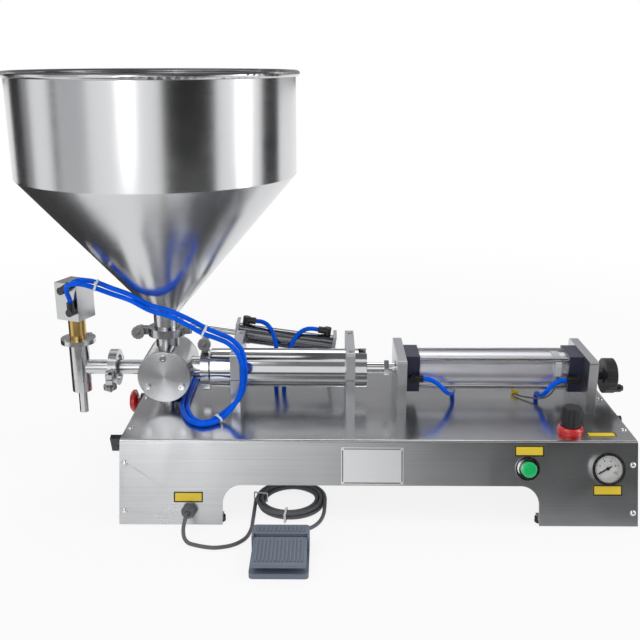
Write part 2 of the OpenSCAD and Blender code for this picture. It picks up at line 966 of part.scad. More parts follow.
module regulator_knob() {
  height = regulator_knob_top - regulator_knob_low;
  color("#181818") placed()
    at_regulator()
      up(regulator_knob_low)
        difference() {
          union() {
            cylinder(h=height - 2 * overrun, r=regulator_knob_r);
            up(height - 2 * overrun)
              cylinder(h=2 * overrun, r1=regulator_knob_r, r2=regulator_knob_r - 2 * overrun);
          }
          up(-overrun)
            cylinder(h=height / 2 + overrun, r=regulator_spindle_r + run_gap);
          for (turn = [0:30:330])
            rotate([0, 0, turn])
              translate([regulator_knob_r + flute_r / 3, 0, regulator_ring_h])
                cylinder(h=height, r=flute_r);
        }
}

module cable_gland() {
  color("#707478") placed()
    on_front(gland_x, gland_s)
      difference() {
        union() {
          up(-gland_thread_len)
            cylinder(h=gland_thread_len, r=gland_thread_r);
          hexagon(gland_nut_h, gland_nut_r);
          up(gland_nut_h)
            cylinder(h=gland_dome_h - gland_lip_h - overrun, r=gland_dome_r);
          up(gland_dome_h - overrun)
            cylinder(h=gland_lip_h, r1=gland_dome_r, r2=gland_lip_r);
          up(-3 * sheet_t)
            hexagon(2 * sheet_t, gland_nut_r);
        }
        up(-gland_thread_len - overrun)
          cylinder(h=gland_thread_len + gland_dome_h + gland_lip_h + overrun, r=cord_r + run_gap);
      }
}

module air_inlet_fitting() {
  color("#202428") placed()
    translate([base_len, inlet_y, top_z - inlet_drop])
      difference() {
        union() {
          translate([-inlet_in, 0, 0])
            along_x() cylinder(h=inlet_in + inlet_out, r=inlet_r);
          along_x() hexagon(inlet_nut_h, inlet_nut_r);
          translate([-sheet_t - side_gap - inlet_nut_h, 0, 0])
            along_x() hexagon(inlet_nut_h, inlet_nut_r);
        }
        translate([-sheet_t, 0, 0])
          along_x() cylinder(h=inlet_out + sheet_t + overrun, r=inlet_bore_r);
      }
}

// Solenoid valves hung under the base top
module air_valve_block() {
  pitch = valve_block_len / pilot_count;
  color("#9aa0a4") placed()
    translate([valve_block_x, valve_block_y, top_z - sheet_t - valve_block_h]) {
      cube([valve_block_len, valve_block_w, valve_block_h]);
      for (i = [0:pilot_count - 1])
        translate([i * pitch + (pitch - pilot_w) / 2, valve_block_w / 2 - pilot_len / 2, -pilot_h])
          cube([pilot_w, pilot_len, pilot_h]);
    }
}

// A plate standing on the base, with its two top edges rounded
module upright(x, low, high) {
  extrude_x(x, plate_t)
    translate([plate_y - plate_w / 2, top_z]) {
      translate([0, low])
        square([plate_w, high - low - plate_round]);
      translate([plate_round, low])
        square([plate_w - 2 * plate_round, high - low]);
      for (y = [plate_round, plate_w - plate_round])
        translate([y, high - plate_round])
          circle(plate_round);
    }
}

module at_clamp_bolts() {
  for (x = [clamp_front_x, clamp_rear_x], side = [-1, 1])
    translate([x + plate_t / 2, line_y + side * clamp_bolt_span / 2, top_z])
      children();
}

module clamp_bases() {
  color("whitesmoke") placed() difference() {
    for (x = [clamp_front_x, clamp_rear_x])
      extrude_x(x, plate_t)
        translate([plate_y - plate_w / 2, top_z])
          square([plate_w, line_h - split_gap / 2]);
    line_bar(clamp_front_x - overrun, clamp_rear_x + plate_t + overrun, dose_od / 2);
    at_clamp_bolts()
      up(clamp_h - clamp_bolt_sink - 2 * clamp_bolt_reach)
        cylinder(h=2 * clamp_bolt_reach, r=clamp_bolt_r + run_gap);
    at_plate_feet();
  }
}

module clamp_caps() {
  color("whitesmoke") placed() difference() {
    for (x = [clamp_front_x, clamp_rear_x])
      upright(x, line_h + split_gap / 2, clamp_h);
    line_bar(clamp_front_x - overrun, clamp_rear_x + plate_t + overrun, dose_od / 2);
    at_clamp_bolts() {
      cylinder(h=clamp_h + overrun, r=clamp_bolt_r + run_gap);
      up(clamp_h - clamp_bolt_sink)
        cylinder(h=clamp_bolt_sink + overrun, r=clamp_bolt_head_r + free_gap);
    }
  }
}

module socket_head(r, h) {
  difference() {
    cylinder(h=h, r=r);
    up(h / 2)
      hexagon(h, r / 2);
  }
}

module at_cover_screws(r) {
  for (turn = [90, 210, 330])
    translate([valve_x + r * cos(turn), line_y, axis_z + r * sin(turn)])
      children();
}

module plate_bolts() {
  color("silver") placed() {
    at_clamp_bolts() {
      up(clamp_h - clamp_bolt_sink)
        socket_head(clamp_bolt_head_r, clamp_bolt_head_h);
      up(clamp_h - clamp_bolt_sink - 2 * clamp_bolt_reach + overrun)
        cylinder(h=2 * clamp_bolt_reach - overrun, r=clamp_bolt_r);
    }
    for (side = [-1, 1])
      at_cover_screws(cover_screw_r)
        scale([1, side, 1])
          translate([0, -valve_len / 2, 0])
            mirror([0, 1, 0])
              along_y() {
                socket_head(cover_screw_head_r, cover_screw_head_h);
                up(-cover_screw_len)
                  cylinder(h=cover_screw_len, r=cover_screw_shank_r);
              }
    for (x = [clamp_front_x, clamp_rear_x, plate_front_x, plate_rear_x], side = [-1, 1])
      translate([x + plate_t / 2, plate_y + side * cover_bolt_span / 2,
        top_z - sheet_t - cover_bolt_head_h]) {
        cylinder(h=cover_bolt_head_h, r=clamp_bolt_head_r);
        cylinder(h=cover_bolt_len, r=clamp_bolt_r);
      }
  }
}

module at_plate_feet() {
  for (x = [clamp_front_x, clamp_rear_x, plate_front_x, plate_rear_x], side = [-1, 1])
    translate([x + plate_t / 2, plate_y + side * cover_bolt_span / 2, top_z - 2 * sheet_t])
      cylinder(h=cover_bolt_len, r=clamp_bolt_r + run_gap);
}

module cylinder_plates() {
  color("whitesmoke") placed() difference() {
    union() {
      upright(plate_front_x, 0, plate_h);
      upright(plate_rear_x, 0, plate_h);
    }
    line_bar(plate_front_x - overrun, plate_front_x + plate_t + overrun, rod_hole_r);
    stop_bar(plate_rear_x - overrun, plate_rear_x + plate_t + overrun, screw_spindle_r + run_gap);
    at_plate_feet();
  }
}

// A pipe stub along Z that ends in a ferrule
module ferrule_stub(len, r) {
  cylinder(h=len, r=r);
  up(len - ferrule_t)
    cylinder(h=ferrule_t, r=ferrule_r);
}

module measuring_cylinder() {
  neck = dose_front_x - right_joint_x - gasket_t / 2;
  color("gainsboro") placed() difference() {
    union() {
      line_bar(dose_front_x, dose_rear_x, dose_od / 2);
      translate([dose_front_x + overrun, line_y, axis_z])
        rotate([0, -90, 0])
          ferrule_stub(neck + overrun, neck_r);
    }
    line_bar(dose_front_x + dose_wall, dose_rear_x + overrun, dose_bore / 2);
    line_bar(right_joint_x, dose_front_x + dose_wall + overrun, neck_bore_r);
    translate([dose_rear_x - window_len, line_y - window_w / 2, axis_z])
      cube([window_len + overrun, window_w, dose_od]);
  }
}

module measuring_piston() {
  r = dose_bore / 2 - run_gap;
  seal_x = [piston_front_x + seal_in, piston_front_x + piston_len - seal_in - seal_w];
  color("dimgray") placed() {
    difference() {
      line_bar(piston_front_x, piston_front_x + piston_len, r);
      for (x = seal_x)
        difference() {
          line_bar(x, x + seal_w, r + overrun);
          line_bar(x - overrun, x + seal_w + overrun, r - seal_depth);
        }
      line_bar(piston_front_x + dose_wall, piston_front_x + piston_len + overrun, dose_rod_d / 2);
    }
    for (x = seal_x)
      difference() {
        line_bar(x, x + seal_w, r);
        line_bar(x - overrun, x + seal_w + overrun, r - seal_depth);
      }
  }
}

module piston_rod() {
  color("gainsboro") placed() {
    line_bar(piston_front_x + dose_wall, nut_x, dose_rod_d / 2);
    translate([nut_x, line_y, axis_z])
      along_x()
        hexagon(nut_len, nut_r);
  }
}

module air_cylinder_tube() {
  color("silver") placed() difference() {
    line_bar(air_tube_x, rear_cap_x, air_bore / 2 + air_tube_t);
    line_bar(air_tube_x - overrun, rear_cap_x + overrun, air_bore / 2);
  }
}

module square_cap(x) {
  translate([x, line_y - cap_side / 2, axis_z - cap_side / 2])
    cube([cap_len, cap_side, cap_side]);
}

module at_tie_rods(x) {
  for (y = [-1, 1], z = [-1, 1])
    translate([x, line_y + y * tie_off, axis_z + z * tie_off])
      along_x()
        children();
}

module air_cylinder_caps() {
  color("midnightblue") placed() difference() {
    union() {
      square_cap(front_cap_x);
      square_cap(rear_cap_x);
    }
    line_bar(front_cap_x - overrun, air_tube_x + overrun, air_rod_d / 2 + run_gap);
    stop_bar(rear_cap_x - overrun, plate_rear_x + overrun, screw_spindle_r + run_gap);
    at_tie_rods(front_cap_x + cap_len / 2)
      cylinder(h=rear_cap_x - front_cap_x, r=tie_r + run_gap);
    at_cap_ports() port();
  }
}

module tie_rods() {
  color("lightgray") placed()
    at_tie_rods(front_cap_x + cap_len / 2 + overrun)
      cylinder(h=rear_cap_x - front_cap_x - 2 * overrun, r=tie_r);
}

module air_piston() {
  color("silver") placed() {
    line_bar(nut_x + nut_len, air_piston_x + overrun, air_rod_d / 2);
    line_bar(air_piston_x, air_piston_x + air_piston_len, air_bore / 2 - run_gap);
  }
}

module reed_switch() {
  r = air_bore / 2 + air_tube_t;
  x = rear_cap_x - band_inset - band_w;
  color("darkgray") placed() {
    difference() {
      line_bar(x, x + band_w, r + band_t);
      line_bar(x - overrun, x + band_w + overrun, r);
    }
    translate([x + band_w / 2 - reed_w / 2, line_y - r - band_t - reed_h, axis_z - reed_low])
      cube([reed_w, reed_h + band_t, reed_len]);
    on_base() {
      tube(reed_lead_run, lead_r, cord_sides);
      translate(reed_lead_run[8])
        rotate([0, 0, -tag_turn])
          translate([-tag_len / 2, -tag_t / 2, -lead_r])
            cube([tag_len, tag_t, tag_h]);
    }
  }
}

module stop_pad() {
  color("dimgray") placed() {
    stop_bar(pad_x, pad_x + pad_t, pad_r);
    stop_bar(pad_x, pad_x + pad_t + pad_stud_len, pad_stud_r);
  }
}

crank_y = crank_r * cos(crank_angle);
crank_z = crank_r * sin(crank_angle);

module handwheel() {
  color("#151515") placed() difference() {
    union() {
      stop_bar(wheel_x, wheel_x + wheel_t - 2 * overrun, wheel_r);
      translate([wheel_x + wheel_t - 2 * overrun, line_y, axis_z - stop_drop])
        along_x() cylinder(h=2 * overrun, r1=wheel_r, r2=wheel_r - 3 * overrun);
      stop_bar(wheel_x - wheel_hub_t, wheel_x + overrun, wheel_hub_r);
      stop_bar(pad_x + pad_t + free_gap, wheel_x + wheel_t + spindle_end, screw_spindle_r);
      translate([wheel_x + wheel_t - overrun, line_y + crank_y, axis_z - stop_drop + crank_z])
        along_x() {
          cylinder(h=crank_grip_len + overrun + 2 * free_gap, r=crank_pin_r);
          up(crank_grip_len + overrun + 2 * free_gap)
            cylinder(h=crank_cap_h, r=crank_pin_r + 2 * overrun);
        }
    }
    stop_bar(pad_x, pad_x + pad_t + pad_stud_len + overrun, pad_stud_r + run_gap);
    for (turn = [0:15:345])
      translate([wheel_x - overrun, line_y, axis_z - stop_drop])
        rotate([turn, 0, 0])
          translate([0, wheel_r + flute_r / 2, 0])
            along_x() cylinder(h=wheel_t + 2 * overrun, r=flute_r);
  }
}

module crank_handle() {
  color("#202020") placed()
    translate([wheel_x + wheel_t + free_gap, line_y + crank_y, axis_z - stop_drop + crank_z])
      along_x()
        difference() {
          union() {
            cylinder(h=crank_grip_len - 2 * overrun, r=crank_grip_r);
            up(crank_grip_len - 2 * overrun)
              cylinder(h=2 * overrun, r1=crank_grip_r, r2=crank_grip_r - 2 * overrun);
          }
          up(-overrun)
            cylinder(h=crank_grip_len + 2 * overrun, r=crank_pin_r + run_gap);
        }
}

// A round bar along Y on the valve axis
module valve_bar(y_low, y_high, r) {
  translate([valve_x, y_low, axis_z])
    along_y()
      cylinder(h=y_high - y_low, r=r);
}

valve_front = line_y - valve_len / 2;
valve_back = line_y + valve_len / 2;

module valve_body() {
  top_len = top_joint_z - gasket_t / 2 - axis_z;
  left_len = valve_x - left_joint_x - gasket_t / 2;
  right_len = right_joint_x - gasket_t / 2 - valve_x;
  color("silver") placed() difference() {
    union() {
      valve_bar(valve_front + cover_t, valve_back - cover_t, valve_od / 2);
      translate([valve_x, line_y, axis_z]) {
        ferrule_stub(top_len, neck_r);
        rotate([0, -90, 0]) ferrule_stub(left_len, pipe_r);
        rotate([0, 90, 0]) ferrule_stub(right_len, neck_r);
      }
      translate([valve_x, line_y, top_z]) {
        cylinder(h=line_h, r=leg_r);
        cylinder(h=leg_foot_h, r=leg_foot_r);
      }
    }
    valve_bar(valve_front, valve_back, rotor_bore / 2);
    translate([valve_x, line_y, axis_z]) {
      neck_bore(top_len, neck_bore_r);
      rotate([0, -90, 0]) neck_bore(left_len, pipe_bore_r);
      rotate([0, 90, 0]) neck_bore(right_len, neck_bore_r);
    }
    cover_screw_holes();
  }
}

// A port through the drum's wall and the bore of its neck
module neck_bore(len, r) {
  cylinder(h=valve_od / 2, r=port_d / 2);
  up(valve_od / 2 - neck_sink)
    cylinder(h=len - valve_od / 2 + neck_sink + overrun, r=r);
}

module cover_screw_holes() {
  for (y = [valve_front, valve_back])
    at_cover_screws(cover_screw_r)
      translate([0, y - line_y - cover_screw_len - overrun, 0])
        along_y()
          cylinder(h=2 * cover_screw_len + 2 * overrun, r=cover_screw_shank_r + run_gap);
}

module valve_covers() {
  color("gainsboro") placed() difference() {
    union() {
      valve_bar(valve_front, valve_front + cover_t, valve_od / 2);
      valve_bar(valve_back - cover_t, valve_back, valve_od / 2);
    }
    valve_bar(valve_back - cover_t - overrun, valve_back + overrun, stem_r + run_gap);
    cover_screw_holes();
  }
}

module valve_rotor() {
  r = rotor_bore / 2 - run_gap;
  low = valve_front + cover_t + free_gap;
  high = valve_back - cover_t - free_gap;
  blade_in = r * cos(blade_half);
  color("silver") placed() {
    difference() {
      valve_bar(low, high, r);
      translate([valve_x, low + rotor_disc_t, axis_z])
        rotate([0, 90 - blade_dir, 0])
          translate([-2 * r, 0, -2 * r])
            cube([4 * r, high - low - 2 * rotor_disc_t, 2 * r + blade_in]);
    }
    valve_bar(high - overrun, act_y + lever_t, stem_r);
  }
}

slot_low = act_h - lever_pin_r - slot_end;
slot_high = act_h / cos(valve_swing / 2) + lever_pin_r + slot_end;

module valve_lever() {
  slot_r = lever_pin_r + slot_play;
  color("slategray") placed()
    translate([valve_x, act_y - lever_t / 2, axis_z])
      rotate([0, 90 - lever_rest, 0])
        difference() {
          union() {
            along_y() cylinder(h=lever_t, r=lever_hub_r);
            translate([-lever_w / 2, 0, 0])
              cube([lever_w, lever_t, slot_high]);
            up(slot_high)
              along_y() cylinder(h=lever_t, r=lever_w / 2);
          }
          translate([0, -overrun, 0])
            along_y() cylinder(h=lever_t + 2 * overrun, r=stem_r);
          for (z = [slot_low + slot_r, slot_high - slot_r])
            translate([0, -overrun, z])
              along_y() cylinder(h=lever_t + 2 * overrun, r=slot_r);
          translate([-slot_r, -overrun, slot_low + slot_r])
            cube([2 * slot_r, lever_t + 2 * overrun, slot_high - slot_low - 2 * slot_r]);
        }
}

// The actuator's own frame: X along the rod, towards the closed end
module at_actuator() {
  translate([act_x, act_y, act_z])
    rotate([0, act_tilt, 0])
      children();
}

module act_bar(x_low, x_high, r) {
  translate([x_low, 0, 0])
    along_x()
      cylinder(h=x_high - x_low, r=r);
}

module actuator_cylinder() {
  rear = act_front + act_len;
  color("#30343a") placed()
    at_actuator()
      difference() {
        union() {
          act_bar(act_front, rear, act_body_r);
          act_bar(act_front, act_front + act_cap_len, act_cap_r);
          act_bar(rear - act_cap_len, rear, act_cap_r);
        }
        act_bar(act_front - overrun, act_front + act_cap_len, act_rod_r + run_gap);
        act_bar(act_front + act_cap_len, rear - act_cap_len, act_bore_r);
        at_actuator_ports() port();
      }
}

module actuator_rod() {
  ear_y = lever_t / 2 + fork_gap;
  fork_w = ear_y + fork_ear_t;
  color("silver") placed()
    at_actuator()
      translate([-act_half, 0, 0]) {
        for (side = [-1, 1])
          translate([0, side > 0 ? ear_y : -fork_w, 0]) {
            along_y() cylinder(h=fork_ear_t, r=fork_ear_r);
            up(-fork_ear_r)
              cube([fork_reach + overrun, fork_ear_t, 2 * fork_ear_r]);
          }
        translate([0, -fork_w, 0])
          along_y() cylinder(h=2 * fork_w, r=lever_pin_r);
        translate([fork_reach, -fork_w, -fork_ear_r])
          cube([fork_len, 2 * fork_w, 2 * fork_ear_r]);
        act_bar(fork_reach + fork_len - overrun,
          act_half + act_front + act_cap_len + overrun, act_rod_r);
        act_bar(act_half + act_front + act_cap_len + overrun,
          act_half + act_front + act_cap_len + overrun + act_piston_len, act_bore_r - run_gap);
      }
}

module actuator_brackets() {
  color("lightgray") placed() difference() {
    for (x = [act_front - bracket_t, act_front + act_len])
      translate([0, act_y + bracket_w / 2, 0])
        rotate([90, 0, 0])
          linear_extrude(bracket_w)
            polygon(bracket_line(x));
    at_actuator()
      act_bar(act_front - 2 * bracket_t, act_front + overrun, act_rod_r + 2 * overrun);
  }
}

// Side view of a bracket: a plate square to the rod, and its foot on the base top
function bracket_line(x) = let (foot_z = top_z + bracket_foot_t,
  foot_x = bracket_x(x, top_z) + bracket_foot, high_z = act_z - x * sin(act_tilt) + bracket_top)
  [[bracket_x(x, top_z), top_z], [foot_x, top_z], [foot_x, foot_z], [bracket_x(x + bracket_t, foot_z), foot_z],
  [bracket_x(x + bracket_t, high_z), high_z], [bracket_x(x, high_z), high_z]];

function bracket_x(x, z) = act_x + x / cos(act_tilt) - (act_z - z) * tan(act_tilt);

module hopper() {
  r = hopper_d / 2;
  shoulder = top_z + hopper_top - hopper_wall_h;
  cone_z = axis_z + cone_base;
  rim_z = top_z + hopper_top - rim_r;
  joint_z = top_joint_z + gasket_t / 2;
  color("gainsboro") placed()
    translate([valve_x, line_y, 0]) {
      rotate_extrude($fn = 96)
        polygon([[hopper_neck_r, cone_z], [r, shoulder], [r, rim_z], [r - hopper_t, rim_z],
          [r - hopper_t, shoulder], [hopper_neck_r - hopper_t, cone_z],
          [hopper_neck_r - hopper_t, joint_z], [ferrule_r, joint_z],
          [ferrule_r, joint_z + ferrule_t], [hopper_neck_r, joint_z + ferrule_t]]);
      up(rim_z)
        rotate_extrude($fn = 96)
          translate([r + hopper_t, 0])
            circle(rim_r, $fn = 20);
    }
}

module at_joint(i) {
  translate(joint_at[i])
    rotate(joint_turn[i])
      rotate([0, 0, joint_spin[i]])
        mirror([0, 1, 0])
          children();
}

module pipe_gaskets() {
  color("white") placed()
    for (i = [0:2])
      at_joint(i)
        up(-gasket_t / 2)
          difference() {
            cylinder(h=gasket_t, r=ferrule_r);
            up(-overrun)
              cylinder(h=gasket_t + 2 * overrun, r=joint_bore[i]);
          }
}

// Two half rings with a hinge, and a bolt across their lugs. The pipe is along Z.
module pipe_clamp() {
  groove = ferrule_t + gasket_t / 2;
  difference() {
    union() {
      rotate_extrude()
        polygon([[ring_r, -ring_w / 2], [ring_r, ring_w / 2], [ring_lip_r, ring_w / 2], [ring_lip_r, groove],
          [ferrule_r, groove], [ferrule_r, -groove], [ring_lip_r, -groove], [ring_lip_r, -ring_w / 2]]);
      translate([-ring_r - lug_len, -lug_t - ring_split / 2, -lug_w / 2])
        cube([lug_len + ring_r - ferrule_r - overrun, 2 * lug_t + ring_split, lug_w]);
      translate([ring_r - overrun, ring_split / 2, -lug_w / 2])
        cube([hinge_r + overrun, hinge_r, lug_w]);
      translate([ring_r - overrun, -ring_split / 2 - hinge_r, -lug_w / 2])
        cube([hinge_r / 2 + overrun, hinge_r, lug_w]);
    }
    translate([-ring_r - 2 * lug_len, -ring_split / 2, -ring_w])
      cube([2 * ring_r + 4 * lug_len, ring_split, 2 * ring_w]);
    translate([-lug_bolt_x, -2 * lug_t, 0])
      along_y() cylinder(h=4 * lug_t, r=lug_bolt_r + run_gap);
    translate([ring_r + hinge_r, 0, -ring_w])
      cylinder(h=2 * ring_w, r=hinge_r + run_gap);
  }
  translate([ring_r + hinge_r, 0, -lug_w / 2])
    difference() {
      cylinder(h=lug_w, r=hinge_r);
      up(lug_w - overrun)
        cylinder(h=2 * overrun, r=hinge_pin_r);
    }
  translate([-lug_bolt_x, -lug_t - ring_split / 2 - nut_knob_t / 2, 0])
    along_y() {
      hexagon(nut_knob_t / 2, 2 * lug_bolt_r);
      cylinder(h=nut_knob_t * 1.5 + 2 * lug_t + ring_split + free_gap + bolt_out, r=lug_bolt_r);
    }
}

module pipe_clamps() {
  color("silver") placed()
    for (i = [0:2])
      at_joint(i)
        pipe_clamp();
}

// A scalloped nut on the clamp's bolt
module clamp_nut(i) {
  color("gray") placed()
    at_joint(i)
      translate([-lug_bolt_x, lug_t + ring_split / 2 + free_gap, 0])
        along_y()
          difference() {
            union() {
              cylinder(h=nut_knob_t, r=nut_knob_r / 2);
              up(nut_knob_t / 4)
                cylinder(h=nut_knob_t * 0.75, r=nut_knob_r);
            }
            up(-overrun)
              cylinder(h=nut_knob_t + 2 * overrun, r=lug_bolt_r + run_gap);
            for (turn = [0:30:330])
              rotate([0, 0, turn])
                translate([nut_knob_r + flute_r / 2, 0, -overrun])
                  cylinder(h=nut_knob_t + 2 * overrun, r=flute_r);
          }
}

module hopper_clamp_nut() {
  clamp_nut(0);
}

module nozzle_clamp_nut() {
  clamp_nut(1);
}

module cylinder_clamp_nut() {
  clamp_nut(2);
}

module at_nozzle() {
  translate([nozzle_x, line_y, top_z])
    children();
}

module nozzle_body() {
  pipe_len = left_joint_x - gasket_t / 2 - nozzle_x;
  color("silver") placed()
    at_nozzle()
      difference() {
        union() {
          up(nozzle_low)
            cylinder(h=nozzle_flange_low - nozzle_low, r=nozzle_d / 2);
          up(-tip_drop)
            cylinder(h=tip_drop + nozzle_low + overrun, r=tip_d / 2);
          up(nozzle_flange_low)
            cylinder(h=nozzle_flange_t, r=nozzle_flange_r);
          up(line_h)
            rotate([0, 90, 0]) ferrule_stub(pipe_len, pipe_r);
          for (i = [0:flange_screws - 1])
            rotate([0, 0, 45 + 360 * i / flange_screws])
              translate([flange_screw_r, 0, nozzle_flange_low + nozzle_flange_t])
                cylinder(h=flange_head_h, r=flange_head_r);
        }
        up(chamber_low)
          cylinder(h=nozzle_flange_low - chamber_low, r=chamber_r);
        up(-tip_drop - overrun)
          cylinder(h=tip_drop + chamber_low + 2 * overrun, r=tip_bore_r);
        up(nozzle_joint)
          difference() {
            cylinder(h=overrun, r=nozzle_d / 2 + overrun);
            up(-overrun)
              cylinder(h=3 * overrun, r=nozzle_d / 2 - overrun / 2);
          }
        up(line_h)
          rotate([0, 90, 0]) cylinder(h=pipe_len + overrun, r=pipe_bore_r);
        up(nozzle_flange_low - overrun)
          cylinder(h=nozzle_flange_t + 2 * overrun, r=plunger_r + run_gap);
      }
}

module brass_guide() {
  color("darkgoldenrod") placed()
    at_nozzle()
      up(nozzle_flange_low + nozzle_flange_t)
        difference() {
          cylinder(h=guide_h, r=guide_r);
          up(-overrun)
            cylinder(h=guide_h + 2 * overrun, r=plunger_r + run_gap);
        }
}

module nozzle_air_cylinder() {
  color("whitesmoke") placed() difference() {
    at_nozzle()
      up(block_low)
        difference() {
          rotate([0, 0, -block_turn])
            translate([-block_side / 2, -block_side / 2, 0])
              cube([block_side, block_side, block_h]);
          up(block_wall)
            cylinder(h=block_h - 2 * block_wall, r=block_bore_r);
          up(-overrun)
            cylinder(h=block_wall + 2 * overrun, r=plunger_r + run_gap);
        }
    at_nozzle_ports() port();
  }
}

module nozzle_plunger() {
  piston_z = block_low + block_wall + free_gap;
  color("lightgray") placed()
    at_nozzle() {
      up(chamber_low + free_gap)
        cylinder(h=plug_h, r=plug_r);
      up(chamber_low + free_gap)
        cylinder(h=piston_z - chamber_low, r=plunger_r);
      up(piston_z)
        cylinder(h=block_piston_h, r=block_bore_r - run_gap);
    }
}

// A push-in elbow. The stem enters the port along -Z and the arm leaves along X.
module elbow() {
  up(-elbow_sink)
    cylinder(h=elbow_sink + overrun, r=elbow_stem_r);
  cylinder(h=elbow_knuckle_h, r=elbow_knuckle_r);
  up(elbow_knuckle_h - elbow_arm_r - run_gap)
    along_x() cylinder(h=elbow_arm_len, r=elbow_arm_r);
}

// The seat of an elbow's stem
module port() {
  up(-elbow_sink)
    cylinder(h=elbow_sink + overrun, r=elbow_stem_r + run_gap);
}

module air_fittings() {
  color("#151515") placed() {
    at_nozzle_ports() elbow();
    at_cap_ports() elbow();
    at_actuator()
      at_actuator_ports() elbow();
  }
}

// The two ports on the nozzle air cylinder's left front face
module at_nozzle_ports() {
  for (at = [[port_across, low_port_up, 90], [0, high_port_up, high_arm_turn]])
    at_nozzle()
      translate([0, 0, block_low + at[1]])
        rotate([0, 0, -block_turn])
          translate([at[0], -block_side / 2, 0])
            rotate([90, 0, 0])
              rotate([0, 0, at[2]])
                children();
}

// One port in the front of each air cylinder cap, with its arm turned inwards
module at_cap_ports() {
  for (at = [[front_cap_x, cap_port_drop[0], 0], [rear_cap_x, cap_port_drop[1], 180]])
    translate([at[0] + cap_len / 2, line_y - cap_side / 2, axis_z - at[1]])
      rotate([90, 0, 0])
        rotate([0, 0, at[2]])
          children();
}

// In the actuator's own frame
module at_actuator_ports() {
  for (at = [[act_front + act_cap_len / 2, 0], [act_front + act_len - act_cap_len / 2, 180]])
    translate([at[0], 0, act_cap_r])
      rotate([0, 0, at[1]])
        children();
}

function unit(v) = v / norm(v);

function heading(path, i) = unit(path[min(i + 1, len(path) - 1)] - path[max(i - 1, 0)]);

// A direction square to the path, carried along without twist
function sideways(path, i) = i == 0
  ? unit(cross(heading(path, 0), [0.3, 0.2, 1]))
  : let (s = sideways(path, i - 1), h = heading(path, i)) unit(s - h * (s * h));

module tube(path, r, sides) {
  rings = len(path);
  points = [for (i = [0:rings - 1]) let (h = heading(path, i), s = sideways(path, i), u = cross(h, s))
    for (k = [0:sides - 1]) path[i] + r * (cos(360 * k / sides) * s + sin(360 * k / sides) * u)];
  walls = [for (i = [0:rings - 2], k = [0:sides - 1])
    let (a = i * sides + k, b = i * sides + (k + 1) % sides, c = b + sides, d = a + sides)
      each [[a, d, c], [a, c, b]]];
  low = [for (k = [1:sides - 2]) [0, k, k + 1]];
  last = (rings - 1) * sides;
  high = [for (k = [1:sides - 2]) [last, last + k + 1, last + k]];
  polyhedron(points=points, faces=concat(walls, low, high), convexity = 6);
}

module on_base() {
  up(top_z)
    children();
}

module air_tubes() {
  color("dodgerblue") placed()
    on_base()
      for (run = [tube_low, tube_high, front_cap_tube, rear_cap_tube, act_front_tube, act_rear_tube])
        tube(run, tube_r, cord_sides);
}

module pedal_cord() {
  color("#505458") placed() {
    tube(cord_run, cord_r, cord_sides);
    tube(cord_end, cord_r, cord_sides);
  }
}

// The coil winds in on the table, climbs while it turns back, and winds out above
function coil_radius(t) = t < coil_turns ? coil_out_r - coil_pitch * t
  : t < coil_turns + 0.5 ? coil_out_r - coil_pitch * coil_turns - coil_dip * sin(360 * (t - coil_turns))
  : coil_out_r - coil_pitch * (2 * coil_turns + 0.5 - t);

function coil_height(t) = coil_z + coil_layer * max(0, min(1, 2 * (t - coil_turns)));

coil_path = [for (i = [0:(2 * coil_turns + 0.5) * coil_steps])
  let (t = i / coil_steps, a = 180 - 360 * t)
    [coil_x + coil_radius(t) * cos(a), coil_y + coil_radius(t) * sin(a), coil_height(t)]];

coil_gap = min([for (i = [0:len(coil_path) - 1], j = [i + 8:len(coil_path) - 1])
  norm(coil_path[i] - coil_path[j]) - 2 * cord_r]);

module pedal_cord_coil() {
  echo(least_gap_in_coil = coil_gap);
  color("#505458") placed()
    tube(coil_path, cord_r, coil_sides);
}

module cable_ties() {
  color("white") placed() {
    for (turn = coil_tie_turns)
      translate([coil_x, coil_y, 0])
        rotate([0, 0, turn])
          coil_tie();
    on_base()
      for (tie = tube_ties)
        tube_tie(tube_low[tie[0]], tube_high[tie[1]], heading(tube_low, tie[0]));
  }
}

// A strap round two tubes that run side by side
module tube_tie(low, high, along) {
  apart = high - low;
  side = unit(apart - along * (apart * along));
  up = cross(along, side);
  multmatrix([for (k = [0:2]) [side[k], up[k], along[k], low[k]]])
    up(-tie_w / 2)
      difference() {
        two_rounds(tie_w, tube_r + free_gap + tie_t, apart * side);
        up(-overrun)
          two_rounds(tie_w + 2 * overrun, tube_r + free_gap, apart * side);
      }
}

module two_rounds(h, r, apart) {
  cylinder(h=h, r=r);
  translate([apart, 0, 0])
    cylinder(h=h, r=r);
  translate([0, -r, 0])
    cube([apart, 2 * r, h]);
}

module coil_tie() {
  inner = coil_out_r - coil_turns * coil_pitch - cord_r - 2 * free_gap;
  outer = coil_out_r + cord_r + 2 * free_gap;
  high = coil_z + coil_layer + cord_r + free_gap;
  difference() {
    translate([inner - tie_t, -tie_w / 2, free_gap])
      cube([outer - inner + 2 * tie_t, tie_w, high + tie_t - free_gap]);
    translate([inner, -tie_w, free_gap + tie_t])
      cube([outer - inner, 2 * tie_w, high - tie_t - free_gap]);
  }
}

pedal_back = pedal_front + pedal_len;

// A block with round upright corners
module rounded_block(w, len, h, r) {
  linear_extrude(h) {
    translate([-w / 2 + r, 0])
      square([w - 2 * r, len]);
    translate([-w / 2, r])
      square([w, len - 2 * r]);
    for (x = [-w / 2 + r, w / 2 - r], y = [r, len - r])
      translate([x, y])
        circle(r);
  }
}

